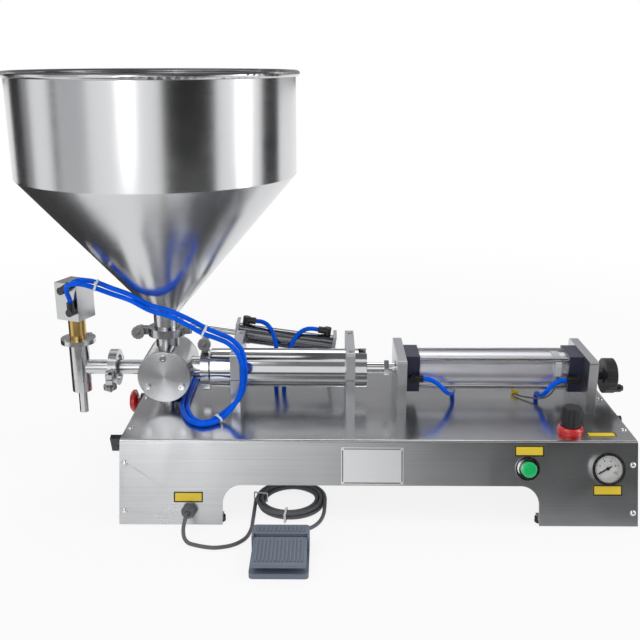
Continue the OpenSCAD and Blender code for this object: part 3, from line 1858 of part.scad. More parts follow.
module pedal_base() {
  house_y = pedal_back - pedal_house_len;
  color("slategray") placed() {
    difference() {
      union() {
        translate([pedal_x, pedal_front, 0])
          rounded_block(pedal_w, pedal_len, pedal_tray_h, pedal_round);
        translate([pedal_x, house_y, 0])
          rounded_block(pedal_w, pedal_house_len, pedal_h - pedal_rib_h, pedal_round);
        for (x = [-1, 1])
          translate([pedal_x + x * (pedal_w / 2 - pedal_wall / 2) - pedal_wall / 2,
            house_y - 3 * pedal_wall, pedal_tray_h - overrun])
            cube([pedal_wall, 4 * pedal_wall, pedal_hinge_z]);
        translate([pedal_cord_x, pedal_back - overrun, pedal_cord_z])
          along_y() cylinder(h=pedal_inlet_len + overrun, r=pedal_inlet_r);
        for (i = [0:house_ribs - 1])
          translate([pedal_x + (i + 0.5 - house_ribs / 2) * (pedal_w - 2 * pedal_round) / house_ribs
            - pedal_rib_w / 2, pedal_back - pedal_round - house_rib_len, pedal_h - pedal_rib_h - overrun])
            cube([pedal_rib_w, house_rib_len, pedal_rib_h + overrun]);
      }
      pedal_pin(pedal_w, run_gap);
    }
  }
}

pedal_hinge_y = pedal_back - pedal_house_len - 1.5 * pedal_wall - overrun;

module pedal_pin(len, gap) {
  translate([pedal_x - len / 2, pedal_hinge_y, pedal_hinge_z])
    along_x() cylinder(h=len, r=pedal_pin_r + gap);
}

module pedal_plate() {
  inner_w = pedal_w - 2 * pedal_wall - 2 * free_gap;
  reach = pedal_hinge_y - pedal_front - free_gap;
  color("#5f6f86") placed() {
    translate([pedal_x, pedal_hinge_y, pedal_hinge_z])
      rotate([pedal_slope, 0, 0]) {
        translate([-inner_w / 2, -reach, -pedal_plate_t / 2])
          cube([inner_w, reach, pedal_plate_t]);
        for (i = [0:pedal_ribs - 1])
          translate([(i + 0.5 - pedal_ribs / 2) * (inner_w - pedal_round) / pedal_ribs
            - pedal_rib_w / 2, -reach + pedal_lip, pedal_plate_t / 2 - overrun])
            cube([pedal_rib_w, reach - 1.5 * pedal_lip, pedal_rib_h + overrun]);
        translate([-inner_w / 2, 0, 0])
          along_x() cylinder(h=inner_w, r=pedal_plate_t / 2 + overrun);
      }
    pedal_pin(pedal_w - pedal_wall / 2, 0);
  }
}

base_cover();
side_panels();
rubber_feet();
panel_screws();
nameplate();
label_plates();
gauge_case();
gauge_dial();
gauge_pointer();
start_button_body();
start_button_cap();
estop_body();
estop_head();
selector_body();
selector_knob();
regulator_body();
regulator_ring();
regulator_knob();
cable_gland();
air_inlet_fitting();
air_valve_block();
clamp_bases();
clamp_caps();
plate_bolts();
cylinder_plates();
measuring_cylinder();
measuring_piston();
piston_rod();
air_cylinder_tube();
air_cylinder_caps();
tie_rods();
air_piston();
reed_switch();
stop_pad();
handwheel();
crank_handle();
valve_body();
valve_covers();
valve_rotor();
valve_lever();
actuator_cylinder();
actuator_rod();
actuator_brackets();
hopper();
pipe_gaskets();
pipe_clamps();
hopper_clamp_nut();
nozzle_clamp_nut();
cylinder_clamp_nut();
nozzle_body();
brass_guide();
nozzle_air_cylinder();
nozzle_plunger();
air_fittings();
air_tubes();
cable_ties();
pedal_base();
pedal_plate();
pedal_cord();
pedal_cord_coil();
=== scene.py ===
"""Looks for a tabletop piston filling machine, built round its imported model.

Every piece is in metres in the model's own frame: X runs along the line of
cylinders, Y to the back and Z up from the table.
"""

import json
import math

import bmesh
import bpy
from bpy.props import FloatProperty, FloatVectorProperty, PointerProperty
from mathutils import Matrix, Vector

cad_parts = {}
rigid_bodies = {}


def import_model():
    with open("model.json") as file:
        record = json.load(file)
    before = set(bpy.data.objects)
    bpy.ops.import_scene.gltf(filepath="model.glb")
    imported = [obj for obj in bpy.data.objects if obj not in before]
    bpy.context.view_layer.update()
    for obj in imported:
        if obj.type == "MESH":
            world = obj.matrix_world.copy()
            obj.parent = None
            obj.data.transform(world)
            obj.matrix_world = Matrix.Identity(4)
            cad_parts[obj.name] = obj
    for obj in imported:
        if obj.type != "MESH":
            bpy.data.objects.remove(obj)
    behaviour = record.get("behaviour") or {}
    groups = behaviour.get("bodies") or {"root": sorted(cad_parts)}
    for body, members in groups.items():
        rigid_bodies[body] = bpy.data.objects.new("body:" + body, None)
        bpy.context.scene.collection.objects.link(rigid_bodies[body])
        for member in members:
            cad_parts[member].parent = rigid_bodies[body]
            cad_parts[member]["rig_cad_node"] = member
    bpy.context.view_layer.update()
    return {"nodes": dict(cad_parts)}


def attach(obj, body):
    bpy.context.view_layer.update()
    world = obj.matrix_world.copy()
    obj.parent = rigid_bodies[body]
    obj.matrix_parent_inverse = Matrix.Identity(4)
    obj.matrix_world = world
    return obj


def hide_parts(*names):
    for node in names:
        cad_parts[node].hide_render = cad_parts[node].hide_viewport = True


bl_info = {
    "name": "Piston filler looks",
    "version": (1, 0, 0),
    "blender": (4, 5, 0),
    "location": "3D View > Sidebar > Filler",
    "description": "Finishes, cords, tubes and small parts for a packed piston filling machine",
    "category": "Object",
}

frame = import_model()

# The model's origin, in millimetres from the base's corner, and the line of cylinders over the base
CORNER_X, CORNER_Y = 323.3, 109.25
BASE_TOP, AXIS_Z, LINE_Y = 127.0, 184.0, 170.0
FRONT_SLOPE = math.radians(17)
VALVE_X, NOZZLE_X = 50, -102

# Places on the sloped front, in millimetres along it and down it, and one along and across the top
START_AT, GAUGE_AT, PLATE_AT = (630, 42), (752, 41), (391, 39)
LABELS_AT, TOP_LABEL_AT = ((633, 14.9), (753, 75), (107, 88)), (751, 25)

# How far what is printed or glazed stands out of the panel, in millimetres
LABEL_INK, PLATE_INK, DIAL_INK, GLASS_OUT = 0.6, 1.1, 3.83, 7.6

# The printed frames in metres: width, height and line
LABEL_FRAME, PLATE_FRAME = (0.0430, 0.0145, 0.0019), (0.0915, 0.0525, 0.0014)
FRAME_DEPTH, FRAME_EDGE = 0.0002, 0.00004

# The gauge's scale: its start and sweep in degrees, how many steps and numbered steps it has, and its
# marks (length and width) and numbers in metres
SCALE_START, SCALE_SWEEP, SCALE_STEPS, NUMBER_STEPS = 210, 240, 50, 5
MARK_RADIUS, MARK_DEPTH, MARK_EDGE = 0.0186, 0.00012, 0.00003
LONG_MARK, SHORT_MARK = (0.0034, 0.0005), (0.0018, 0.00025)
NUMBER_RADIUS, NUMBER_SIZE, NUMBER_DEPTH = 0.0125, 0.0052, 0.00005

# Turned pieces: (radius, height) along each outline in metres, and the faces round it
START_CAP = [
    (0, -0.015), (0.005, -0.015), (0.005, 0.0046), (0.0112, 0.0046), (0.0119, 0.0053), (0.0119, 0.0124),
    (0.0117, 0.0132), (0.0110, 0.0137), (0.007, 0.0139), (0, 0.014),
]
GLASS = [(0, 0), (0.0206, 0), (0.0206, 0.0012), (0, 0.0016)]
BAND = [(0.0281, 0), (0.0296, 0), (0.0296, 0.012), (0.0281, 0.012)]
CAP_STEPS, GLASS_STEPS, BAND_STEPS = 72, 64, 96

# The ties' lock heads: millimetres out from between the tubes, then size and edge in metres
HEAD_OUT, HEAD_SIZE, HEAD_EDGE = 6.2, (0.0042, 0.0048, 0.0028), 0.0005

# The reed switch: places along the base in millimetres, its lead's diameter in metres, and the tag
# that stands on a point of REED_LEAD, lifted in millimetres
BAND_X, SWITCH_X, REED_LEAD_D = 701, 707, 0.0032
TAG_POINT, TAG_LIFT, TAG_TURN = 8, 2.9, math.radians(-55)
TAG_SIZE, TAG_EDGE = (0.018, 0.0010, 0.009), 0.0003

# Its two boxes: size in metres, millimetres before and above the air cylinder's axis, edge, segments
SWITCH_BOXES = (
    ((0.010, 0.0072, 0.024), (32.4, 10), 0.0008, 3),
    ((0.006, 0.0014, 0.006), (36.4, 14), 0.0004, 2),
)


def at(x, y, z):
    """A place in millimetres from the base's corner, in metres in the model's frame."""
    return Vector(((x - CORNER_X) / 1000, (y - CORNER_Y) / 1000, z / 1000))


def on_front(spot, out=0.0):
    """The matrix of a spot on the sloped front, out from it in millimetres, with Z out of the panel."""
    x, down = spot
    sin, cos = math.sin(FRONT_SLOPE), math.cos(FRONT_SLOPE)
    place = at(x, -down * sin - out * cos, BASE_TOP - down * cos + out * sin)
    return Matrix.Translation(place) @ Matrix.Rotation(math.pi / 2 - FRONT_SLOPE, 4, "X")


class FillerSizes(bpy.types.PropertyGroup):
    """Sizes that a user would change."""

    edge: FloatProperty(
        name="Edge round", description="Width of the round on cut metal edges",
        default=0.0005, min=0.0, max=0.003, subtype="DISTANCE", unit="LENGTH",
    )
    lead_d: FloatProperty(
        name="Pedal lead", description="Diameter of the pedal's lead",
        default=0.006, min=0.003, max=0.01, subtype="DISTANCE", unit="LENGTH",
    )
    air_tube_d: FloatProperty(
        name="Air tube", description="Outside diameter of the blue air tubes",
        default=0.008, min=0.004, max=0.012, subtype="DISTANCE", unit="LENGTH",
    )
    curve_step: FloatProperty(
        name="Curve step", description="Distance between the points of a cord's smooth line",
        default=0.003, min=0.001, max=0.01, subtype="DISTANCE", unit="LENGTH",
    )


class FillerColours(bpy.types.PropertyGroup):
    """Colours that a user would change."""

    air_tube: FloatVectorProperty(
        name="Air tube", description="Colour of the air tubes", subtype="COLOR",
        size=4, min=0, max=1, default=(0.0003, 0.120, 0.86, 1),
    )
    pedal: FloatVectorProperty(
        name="Pedal", description="Colour of the foot pedal", subtype="COLOR",
        size=4, min=0, max=1, default=(0.16, 0.19, 0.245, 1),
    )
    lead: FloatVectorProperty(
        name="Lead", description="Colour of the pedal's lead", subtype="COLOR",
        size=4, min=0, max=1, default=(0.115, 0.12, 0.13, 1),
    )
    start: FloatVectorProperty(
        name="Start button", description="Colour of the start button", subtype="COLOR",
        size=4, min=0, max=1, default=(0.006, 0.52, 0.14, 1),
    )
    stop: FloatVectorProperty(
        name="Stop button", description="Colour of the emergency stop and the regulator's ring",
        subtype="COLOR", size=4, min=0, max=1, default=(0.62, 0.018, 0.02, 1),
    )
    label: FloatVectorProperty(
        name="Labels", description="Colour of the small labels", subtype="COLOR",
        size=4, min=0, max=1, default=(0.84, 0.62, 0.03, 1),
    )


# Nodes and patterns

def plug(tree, node, sockets):
    """Gives a node's sockets their values, each another node's output or a plain one."""
    for key, value in sockets.items():
        if isinstance(value, bpy.types.NodeSocket):
            tree.links.new(value, node.inputs[key])
        else:
            node.inputs[key].default_value = value


def output(tree, kind, sockets, **settings):
    """What a new node with those settings and sockets puts out."""
    node = tree.nodes.new(kind)
    for name, value in settings.items():
        setattr(node, name, value)
    plug(tree, node, sockets)
    return next(socket for socket in node.outputs if socket.enabled)


def number(tree, operation, *values):
    """A sum with numbers."""
    return output(tree, "ShaderNodeMath", dict(enumerate(values)), operation=operation)


def vector(tree, operation, *values):
    """A sum with vectors."""
    return output(tree, "ShaderNodeVectorMath", dict(enumerate(values)), operation=operation)


def own_place(tree):
    """The Object coordinates."""
    return tree.nodes.new("ShaderNodeTexCoord").outputs["Object"]


def taken(group, **defaults):
    """A group's new inputs: a vector where the default is one, and else a number."""
    for label, default in defaults.items():
        kind = "NodeSocketVector" if isinstance(default, tuple) else "NodeSocketFloat"
        group.interface.new_socket(label, in_out="INPUT", socket_type=kind).default_value = default
    return group.nodes.new("NodeGroupInput").outputs


def drawn_grain(group):
    """Fine noise, stretched by a scale along each axis."""
    given = taken(group, Along=(40.0, 4000.0, 4000.0))
    stretched = vector(group, "MULTIPLY", own_place(group), given["Along"])
    return output(group, "ShaderNodeTexNoise", {
        "Vector": stretched, "Scale": 1.0, "Detail": 3.0, "Roughness": 0.62})


def wiped_patches(group):
    """Soft uneven patches, as fingers and wiping leave on metal and plastic."""
    given = taken(group, Size=12.0)
    broad = output(group, "ShaderNodeTexNoise", {
        "Vector": own_place(group), "Scale": given["Size"], "Detail": 5.0, "Roughness": 0.55,
        "Distortion": 0.6})
    return output(group, "ShaderNodeMapRange", {"Value": broad, "From Min": 0.32, "From Max": 0.68})


def turning_marks(group):
    """Fine rings round an axis, given by a point of it and the directions across it."""
    given = taken(group, Centre=(0.0, 0.0, 0.0), Across=(1.0, 0.0, 1.0), Pitch=9000.0)
    away = vector(group, "SUBTRACT", own_place(group), given["Centre"])
    radius = vector(group, "LENGTH", vector(group, "MULTIPLY", away, given["Across"]))
    turns = number(group, "MULTIPLY", radius, given["Pitch"])
    return output(group, "ShaderNodeTexNoise", {"W": turns, "Scale": 1.0, "Detail": 2.0},
                  noise_dimensions="1D")


def pattern(tree, make, **values):
    """The value of one of the patterns, whose group is made when it is first asked for."""
    group = bpy.data.node_groups.get(make.__name__)
    if group is None:
        group = bpy.data.node_groups.new(make.__name__, "ShaderNodeTree")
        group.interface.new_socket("Value", in_out="OUTPUT", socket_type="NodeSocketFloat")
        value = make(group)
        group.links.new(value, group.nodes.new("NodeGroupOutput").inputs["Value"])
    return output(tree, "ShaderNodeGroup", values, node_tree=group)


def ranged(tree, source, low, high):
    """source, from 0 to 1, brought to the range low to high."""
    return output(tree, "ShaderNodeMapRange", {"Value": source, "To Min": low, "To Max": high})


def mixed(tree, source, first, second, kind="RGBA"):
    """A colour, or a number if kind is FLOAT, from first to second as source goes from 0 to 1."""
    return output(tree, "ShaderNodeMix", {"Factor": source, "A": first, "B": second}, data_type=kind)


def shade(colour, factor):
    """A colour made lighter or darker, and opaque."""
    return (*[min(1.0, c * factor) for c in colour[:3]], 1.0)


def varied(tree, source, colour, contrast):
    """colour, from darker to lighter as source goes from 0 to 1."""
    return mixed(tree, source, shade(colour, 1 - contrast), shade(colour, 1 + contrast))


def bumped(tree, height, distance, strength=1.0):
    """A normal that follows a height."""
    return output(tree, "ShaderNodeBump", {"Height": height, "Distance": distance, "Strength": strength})


# Materials

# How much of bare metal's roughness follows its grain and its wiped patches
GRAIN_ROUGHNESS, PATCH_ROUGHNESS = 0.16, 0.06

# The base's sheet: the heights between which its front goes over into its polished top, how much of
# its roughness follows the grain, the grain's depth, and how much of that is left on the top
FOLD_LOW, FOLD_HIGH = 0.1235, 0.1265
SHEET_GRAIN, SHEET_DEPTH, TOP_DEPTH = 0.05, 3.5e-5, 0.12


def metal(tree, shader, colour, rough, grain=(40, 4000, 4000), depth=2e-5, size=14, contrast=0.06):
    """Bare metal with a drawn grain and wiped patches."""
    fine, soft = pattern(tree, drawn_grain, Along=grain), pattern(tree, wiped_patches, Size=size)
    low = rough - (GRAIN_ROUGHNESS + PATCH_ROUGHNESS) / 2
    wiped = ranged(tree, soft, low, low + PATCH_ROUGHNESS)
    plug(tree, shader, {
        "Metallic": 1.0,
        "Roughness": number(tree, "MULTIPLY_ADD", fine, GRAIN_ROUGHNESS, wiped),
        "Base Color": varied(tree, fine, colour, contrast),
        "Normal": bumped(tree, fine, depth),
    })


def turned(tree, shader, colour, rough, centre, across, pitch, depth, strength=0.6):
    """Metal with turning marks round an axis."""
    marks = pattern(tree, turning_marks, Centre=centre, Across=across, Pitch=pitch)
    soft = pattern(tree, wiped_patches, Size=20)
    # The highlight stretches square to the grooves: outwards on a face, and along the axis on a side
    from_axis = vector(tree, "SUBTRACT", own_place(tree), centre)
    outwards = vector(tree, "MULTIPLY_ADD", from_axis, across, [0.004 * (1 - c) for c in across])
    plug(tree, shader, {
        "Metallic": 1.0,
        "Roughness": ranged(tree, soft, rough - 0.04, rough + 0.05),
        "Base Color": varied(tree, marks, colour, 0.06),
        "Normal": bumped(tree, marks, depth, strength),
        "Anisotropic": 0.8,
        "Tangent": vector(tree, "NORMALIZE", outwards),
    })


def plastic(tree, shader, colour, rough, bump=3e-5, size=1600, coat=0.0, contrast=0.08, specular=0.5):
    """Moulded plastic, rubber or paint with a fine skin and handled patches."""
    skin = pattern(tree, drawn_grain, Along=(size, size, size))
    soft = pattern(tree, wiped_patches, Size=26)
    plug(tree, shader, {
        "Specular IOR Level": specular,
        "Coat Weight": coat,
        "Coat Roughness": 0.08,
        "Roughness": ranged(tree, soft, max(0.03, rough - 0.06), rough + 0.08),
        "Base Color": varied(tree, soft, colour, contrast),
        "Normal": bumped(tree, skin, bump),
    })


def sheet(tree, shader, colour, rough, front, front_rough):
    """Sheet metal whose top is polished and whose front is drawn. The front's colour goes in drawn streaks
    between two greys, and both are darker than the top's colour: painted shade on the one bent sheet.
    """
    fine = pattern(tree, drawn_grain, Along=(14, 2600, 2600))
    coarse = pattern(tree, drawn_grain, Along=(4, 700, 700))
    soft = pattern(tree, wiped_patches, Size=7)
    split = tree.nodes.new("ShaderNodeSeparateXYZ")
    plug(tree, split, {0: own_place(tree)})
    top = output(tree, "ShaderNodeMapRange", {
        "Value": split.outputs["Z"], "From Min": FOLD_LOW, "From Max": FOLD_HIGH})
    smooth = mixed(tree, top, ranged(tree, soft, *front_rough), ranged(tree, soft, *rough), "FLOAT")
    both = number(tree, "ADD", fine, coarse)
    faded = number(tree, "MULTIPLY", both, ranged(tree, top, 1.0, TOP_DEPTH))
    plug(tree, shader, {
        "Metallic": 1.0,
        "Roughness": number(tree, "MULTIPLY_ADD", fine, SHEET_GRAIN, smooth),
        # The front's two darker greys are painted shade, streaked by the drawn grain; the top keeps the
        # sheet's own colour
        "Base Color": mixed(tree, top, mixed(tree, coarse, *front), colour),
        "Normal": bumped(tree, faded, SHEET_DEPTH),
    })


def film(tree, shader, colour, rough):
    """Coloured film, a little uneven."""
    soft = pattern(tree, wiped_patches, Size=30)
    plug(tree, shader, {
        "Base Color": mixed(tree, soft, shade(colour, 0.94), shade(colour, 1.04)),
        "Roughness": ranged(tree, soft, *rough),
    })


def clear(tree, shader, colour, rough):
    """Thin clear glass, faintly wiped."""
    soft = pattern(tree, wiped_patches, Size=60)
    plug(tree, shader, {
        "Base Color": colour, "Transmission Weight": 1.0, "IOR": 1.12,
        "Roughness": ranged(tree, soft, *rough),
    })


# The axes of the valve and of the nozzle, which their turning marks go round
ROUND_VALVE = {"centre": at(VALVE_X, LINE_Y, AXIS_Z), "across": (1, 0, 1), "pitch": 5200}
ROUND_NOZZLE = {"centre": at(NOZZLE_X, LINE_Y, BASE_TOP), "across": (1, 1, 0), "pitch": 4000}

# Each finish's maker, its colour, its roughness and what differs from the maker's own values. A
# colour in words is one that the user can change
FINISHES = {
    # The base's front greys are darker than its top's colour as painted shade, with drawn streaks between
    # them
    "base_steel": (sheet, (0.60, 0.605, 0.615, 1), (0.15, 0.21), {
        "front": ((0.36, 0.367, 0.375, 1), (0.52, 0.527, 0.537, 1)), "front_rough": (0.24, 0.33)}),
    "side_steel": (metal, (0.50, 0.505, 0.515), 0.3, {"grain": (2600, 14, 2600), "depth": 3e-5}),
    "bright_screw": (metal, (0.72, 0.73, 0.74), 0.2, {"grain": (900, 900, 900), "depth": 1e-5}),
    "bare_plate": (metal, (0.86, 0.87, 0.89), 0.42, {"grain": (30, 3000, 3000), "depth": 1e-5}),
    "grey_block": (metal, (0.55, 0.56, 0.58), 0.4, {}),
    "bright_steel": (metal, (0.80, 0.81, 0.82), 0.12, {"grain": (600, 600, 600), "depth": 4e-6}),
    "gauge_ring": (metal, (0.62, 0.63, 0.64), 0.2, {"grain": (600, 600, 600), "depth": 4e-6}),
    "satin_plate": (metal, (0.62, 0.63, 0.65), 0.34, {
        "grain": (3000, 3000, 30), "depth": 1e-5, "contrast": 0.08}),
    "polished_tube": (metal, (0.62, 0.625, 0.64), 0.13, {"grain": (8, 1600, 1600), "depth": 2e-6}),
    "polished_rod": (metal, (0.80, 0.81, 0.82), 0.1, {"grain": (2400, 400, 400), "depth": 3e-6}),
    "drawn_alloy": (metal, (0.90, 0.90, 0.96), 0.42, {
        "grain": (6, 1400, 1400), "depth": 2e-6, "contrast": 0.02}),
    "drawn_alloy_block": (metal, (0.58, 0.585, 0.60), 0.19, {"grain": (1600, 1600, 20), "depth": 1e-5}),
    "dark_barrel": (metal, (0.22, 0.225, 0.24), 0.2, {"grain": (8, 900, 900), "depth": 2e-6}),
    "clamp_steel": (metal, (0.52, 0.525, 0.535), 0.19, {"grain": (500, 500, 500)}),
    "cast_nut": (metal, (0.34, 0.34, 0.35), 0.32, {
        "grain": (700, 700, 700), "depth": 6e-5, "contrast": 0.15}),
    "hopper_steel": (metal, (0.66, 0.665, 0.675), 0.2, {
        "grain": (26, 26, 2200), "depth": 4e-6, "size": 5, "contrast": 0.04}),
    "turned_brass": (metal, (0.66, 0.45, 0.16), 0.24, {"grain": (300, 300, 5000)}),
    "valve_drum": (turned, (0.58, 0.585, 0.595), 0.18, {**ROUND_VALVE, "depth": 1.2e-5}),
    "valve_cover": (turned, (0.60, 0.605, 0.615), 0.30, {**ROUND_VALVE, "depth": 2e-5, "strength": 0.8}),
    "nozzle_steel": (turned, (0.62, 0.625, 0.635), 0.15, {**ROUND_NOZZLE, "depth": 6e-6}),
    "lead_sheath": (plastic, "lead", 0.42, {"bump": 2e-5, "size": 2200, "contrast": 0.12}),
    "blue_tube": (plastic, "air_tube", 0.22, {
        "bump": 1e-5, "size": 900, "contrast": 0.2, "specular": 0.07}),
    "switch_lead": (plastic, (0.16, 0.165, 0.17), 0.42, {"bump": 1e-5, "size": 2000}),
    "pedal_shell": (plastic, "pedal", 0.46, {"bump": 8e-5, "size": 700, "contrast": 0.06}),
    "green_button": (plastic, "start", 0.24, {"coat": 0.6}),
    "red_button": (plastic, "stop", 0.26, {"coat": 0.5}),
    "black_rubber": (plastic, (0.018, 0.018, 0.019), 0.7, {}),
    "grey_gland": (plastic, (0.10, 0.105, 0.11), 0.4, {}),
    "black_fitting": (plastic, (0.012, 0.013, 0.015), 0.22, {"coat": 0.3}),
    "black_plastic": (plastic, (0.012, 0.012, 0.014), 0.28, {"coat": 0.3}),
    "matte_black": (plastic, (0.016, 0.016, 0.018), 0.46, {}),
    "white_dial": (plastic, (0.86, 0.86, 0.84), 0.5, {}),
    "black_ink": (plastic, (0.008, 0.008, 0.008), 0.5, {}),
    "navy_block": (plastic, (0.010, 0.014, 0.045), 0.34, {"coat": 0.25, "specular": 0.6}),
    "dark_seal": (plastic, (0.03, 0.03, 0.032), 0.6, {}),
    "wheel_black": (plastic, (0.014, 0.014, 0.015), 0.42, {"coat": 0.1}),
    "grey_paint": (plastic, (0.20, 0.215, 0.25), 0.4, {"coat": 0.2}),
    "white_seal": (plastic, (0.80, 0.80, 0.78), 0.42, {}),
    "white_nylon": (plastic, (0.82, 0.82, 0.82), 0.38, {"coat": 0.2}),
    "grey_switch": (plastic, (0.50, 0.51, 0.52), 0.4, {}),
    "yellow_label": (film, "label", (0.38, 0.5), {}),
    "gauge_glass": (clear, (1, 1, 1, 1), (0.0, 0.03), {}),
}


def finish(name):
    """The material of a finish, made when it is first asked for.

    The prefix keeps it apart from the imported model's own plain materials.
    """
    known = bpy.data.materials.get(f"filler_{name}")
    if known:
        return known
    make, colour, rough, more = FINISHES[name]
    if isinstance(colour, str):
        colour = getattr(bpy.context.scene.filler_colours, colour)
    material = bpy.data.materials.new(f"filler_{name}")
    material.use_nodes = True
    tree = material.node_tree
    make(tree, tree.nodes["Principled BSDF"], colour, rough, **more)
    return material


# Making pieces

SMOOTH_BELOW = math.radians(35)  # the script's own pieces are smooth across edges that turn less
ROUND_ABOVE = math.radians(34)  # a CAD node's edges that turn more are rounded
SHARP_ABOVE = math.radians(28)  # and a CAD node is shaded smooth across those that turn less
SMOOTH_TREE = "soft_edges_by_angle"


def placed(name, data):
    """A new object in the scene."""
    piece = bpy.data.objects.new(name, data)
    bpy.context.scene.collection.objects.link(piece)
    return piece


def keep(piece, look, body="machine", replaces=()):
    """Gives a piece its finish by name, its body and the nodes that it stands for."""
    piece.data.materials.clear()
    piece.data.materials.append(finish(look))
    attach(piece, body)
    if replaces:
        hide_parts(*replaces)


def to_object(name, bm):
    """A mesh object from a bmesh, its soft edges smooth."""
    bmesh.ops.remove_doubles(bm, verts=bm.verts, dist=1e-6)
    bmesh.ops.recalc_face_normals(bm, faces=bm.faces)
    for face in bm.faces:
        face.smooth = True
    for edge in bm.edges:
        edge.smooth = len(edge.link_faces) == 2 and edge.calc_face_angle(0) < SMOOTH_BELOW
    mesh = bpy.data.meshes.new(name)
    bm.to_mesh(mesh)
    bm.free()
    return placed(name, mesh)


def spun(profile, matrix, steps, closed=True):
    """A bmesh turned from a profile of (radius, height) round Z, then brought to its place."""
    bm = bmesh.new()
    verts = [bm.verts.new((r, 0, z)) for r, z in profile]
    edges = [bm.edges.new(pair) for pair in zip(verts, verts[1:])]
    if closed:
        edges.append(bm.edges.new((verts[-1], verts[0])))
    bmesh.ops.spin(
        bm, geom=verts + edges, cent=(0, 0, 0), axis=(0, 0, 1), angle=2 * math.pi,
        steps=steps, use_merge=True, use_duplicate=False,
    )
    bmesh.ops.remove_doubles(bm, verts=bm.verts, dist=1e-7)
    bmesh.ops.transform(bm, matrix=matrix, verts=bm.verts)
    return bm


def softened_box(bm, size, matrix, width, segments=2):
    """Adds a box with rounded edges to a bmesh."""
    verts = bmesh.ops.create_cube(bm, size=1.0)["verts"]
    bmesh.ops.transform(bm, matrix=matrix @ Matrix.Diagonal((*size, 1.0)), verts=verts)
    edges = {edge for vert in verts for edge in vert.link_edges}
    bmesh.ops.bevel(
        bm, geom=list(edges), offset=width, affect="EDGES", segments=segments, profile=0.5, material=-1,
        clamp_overlap=True,
    )


def smooth_tree():
    """Geometry nodes that shade a mesh smooth except across its sharp edges."""
    if SMOOTH_TREE in bpy.data.node_groups:
        return bpy.data.node_groups[SMOOTH_TREE]
    tree = bpy.data.node_groups.new(SMOOTH_TREE, "GeometryNodeTree")
    tree.interface.new_socket("Geometry", in_out="INPUT", socket_type="NodeSocketGeometry")
    limit = tree.interface.new_socket("Limit", in_out="INPUT", socket_type="NodeSocketFloat")
    limit.default_value = SHARP_ABOVE
    tree.interface.new_socket("Geometry", in_out="OUTPUT", socket_type="NodeSocketGeometry")
    given = tree.nodes.new("NodeGroupInput").outputs
    angle = tree.nodes.new("GeometryNodeInputMeshEdgeAngle").outputs["Unsigned Angle"]
    over = output(tree, "FunctionNodeCompare", {"A": angle, "B": given["Limit"]}, operation="GREATER_THAN")
    faces = output(tree, "GeometryNodeSetShadeSmooth", {"Geometry": given["Geometry"]})
    edges = output(tree, "GeometryNodeSetShadeSmooth", {
        "Geometry": faces, "Selection": over, "Shade Smooth": False}, domain="EDGE")
    tree.links.new(edges, tree.nodes.new("NodeGroupOutput").inputs["Geometry"])
    return tree


def dress(names, look, edge=None):
    """Gives CAD nodes a finish by name, with cut edges rounded and curves shaded smooth.

    The round is in metres: 0 leaves the edges sharp, and where none is given it is the user's own.
    """
    if edge is None:
        edge = bpy.context.scene.filler_sizes.edge
    for name in names.split():
        node = frame["nodes"][name]
        node.data.materials.clear()
        node.data.materials.append(finish(look))
        weld = node.modifiers.new("joined", "WELD")
        weld.merge_threshold = 0.00001
        if edge:
            bevel = node.modifiers.new("rounded", "BEVEL")
            bevel.width = edge
            bevel.segments = 2
            bevel.limit_method = "ANGLE"
            bevel.angle_limit = ROUND_ABOVE
            bevel.use_clamp_overlap = True
            bevel.miter_outer = "MITER_ARC"
        soft = node.modifiers.new("soft_edges", "NODES")
        soft.node_group = smooth_tree()
        flat = node.modifiers.new("flat_faces", "WEIGHTED_NORMAL")
        flat.keep_sharp = True
        flat.weight = 100


def smooth_line(points, step):
    """A smooth line through the points, with a point about every step."""
    pts = [Vector(p) for p in points]
    ends = [2 * pts[0] - pts[1], *pts, 2 * pts[-1] - pts[-2]]
    line = []
    for a, b, c, d in zip(ends, ends[1:], ends[2:], ends[3:]):
        t1 = max((b - a).length, 1e-6) ** 0.5
        t2 = t1 + max((c - b).length, 1e-6) ** 0.5
        t3 = t2 + max((d - c).length, 1e-6) ** 0.5
        count = max(1, round((c - b).length / step))
        for i in range(count):
            t = t1 + (t2 - t1) * i / count
            a1 = a * ((t1 - t) / t1) + b * (t / t1)
            a2 = b * ((t2 - t) / (t2 - t1)) + c * ((t - t1) / (t2 - t1))
            a3 = c * ((t3 - t) / (t3 - t2)) + d * ((t - t2) / (t3 - t2))
            b1 = a1 * ((t2 - t) / t2) + a2 * (t / t2)
            b2 = a2 * ((t3 - t) / (t3 - t1)) + a3 * ((t - t1) / (t3 - t1))
            line.append(b1 * ((t2 - t) / (t2 - t1)) + b2 * ((t - t1) / (t2 - t1)))
    line.append(pts[-1])
    return line


def round_cord(name, points, diameter, look, replaces=()):
    """A round cord along the points, with its smooth line and that line's length."""
    line = smooth_line(points, bpy.context.scene.filler_sizes.curve_step)
    data = bpy.data.curves.new(name, "CURVE")
    data.dimensions = "3D"
    spline = data.splines.new("POLY")
    spline.points.add(len(line) - 1)
    for point, place in zip(spline.points, line):
        point.co = (*place, 1)
    data.bevel_depth = diameter / 2
    data.bevel_resolution = 4
    data.use_fill_caps = True
    piece = placed(name, data)
    keep(piece, look, replaces=replaces)
    length = sum((b - a).length for a, b in zip(line, line[1:]))
    return piece, line, length


# Routes of the cords, in millimetres from the base's corner; the tubes' heights are from the base's top

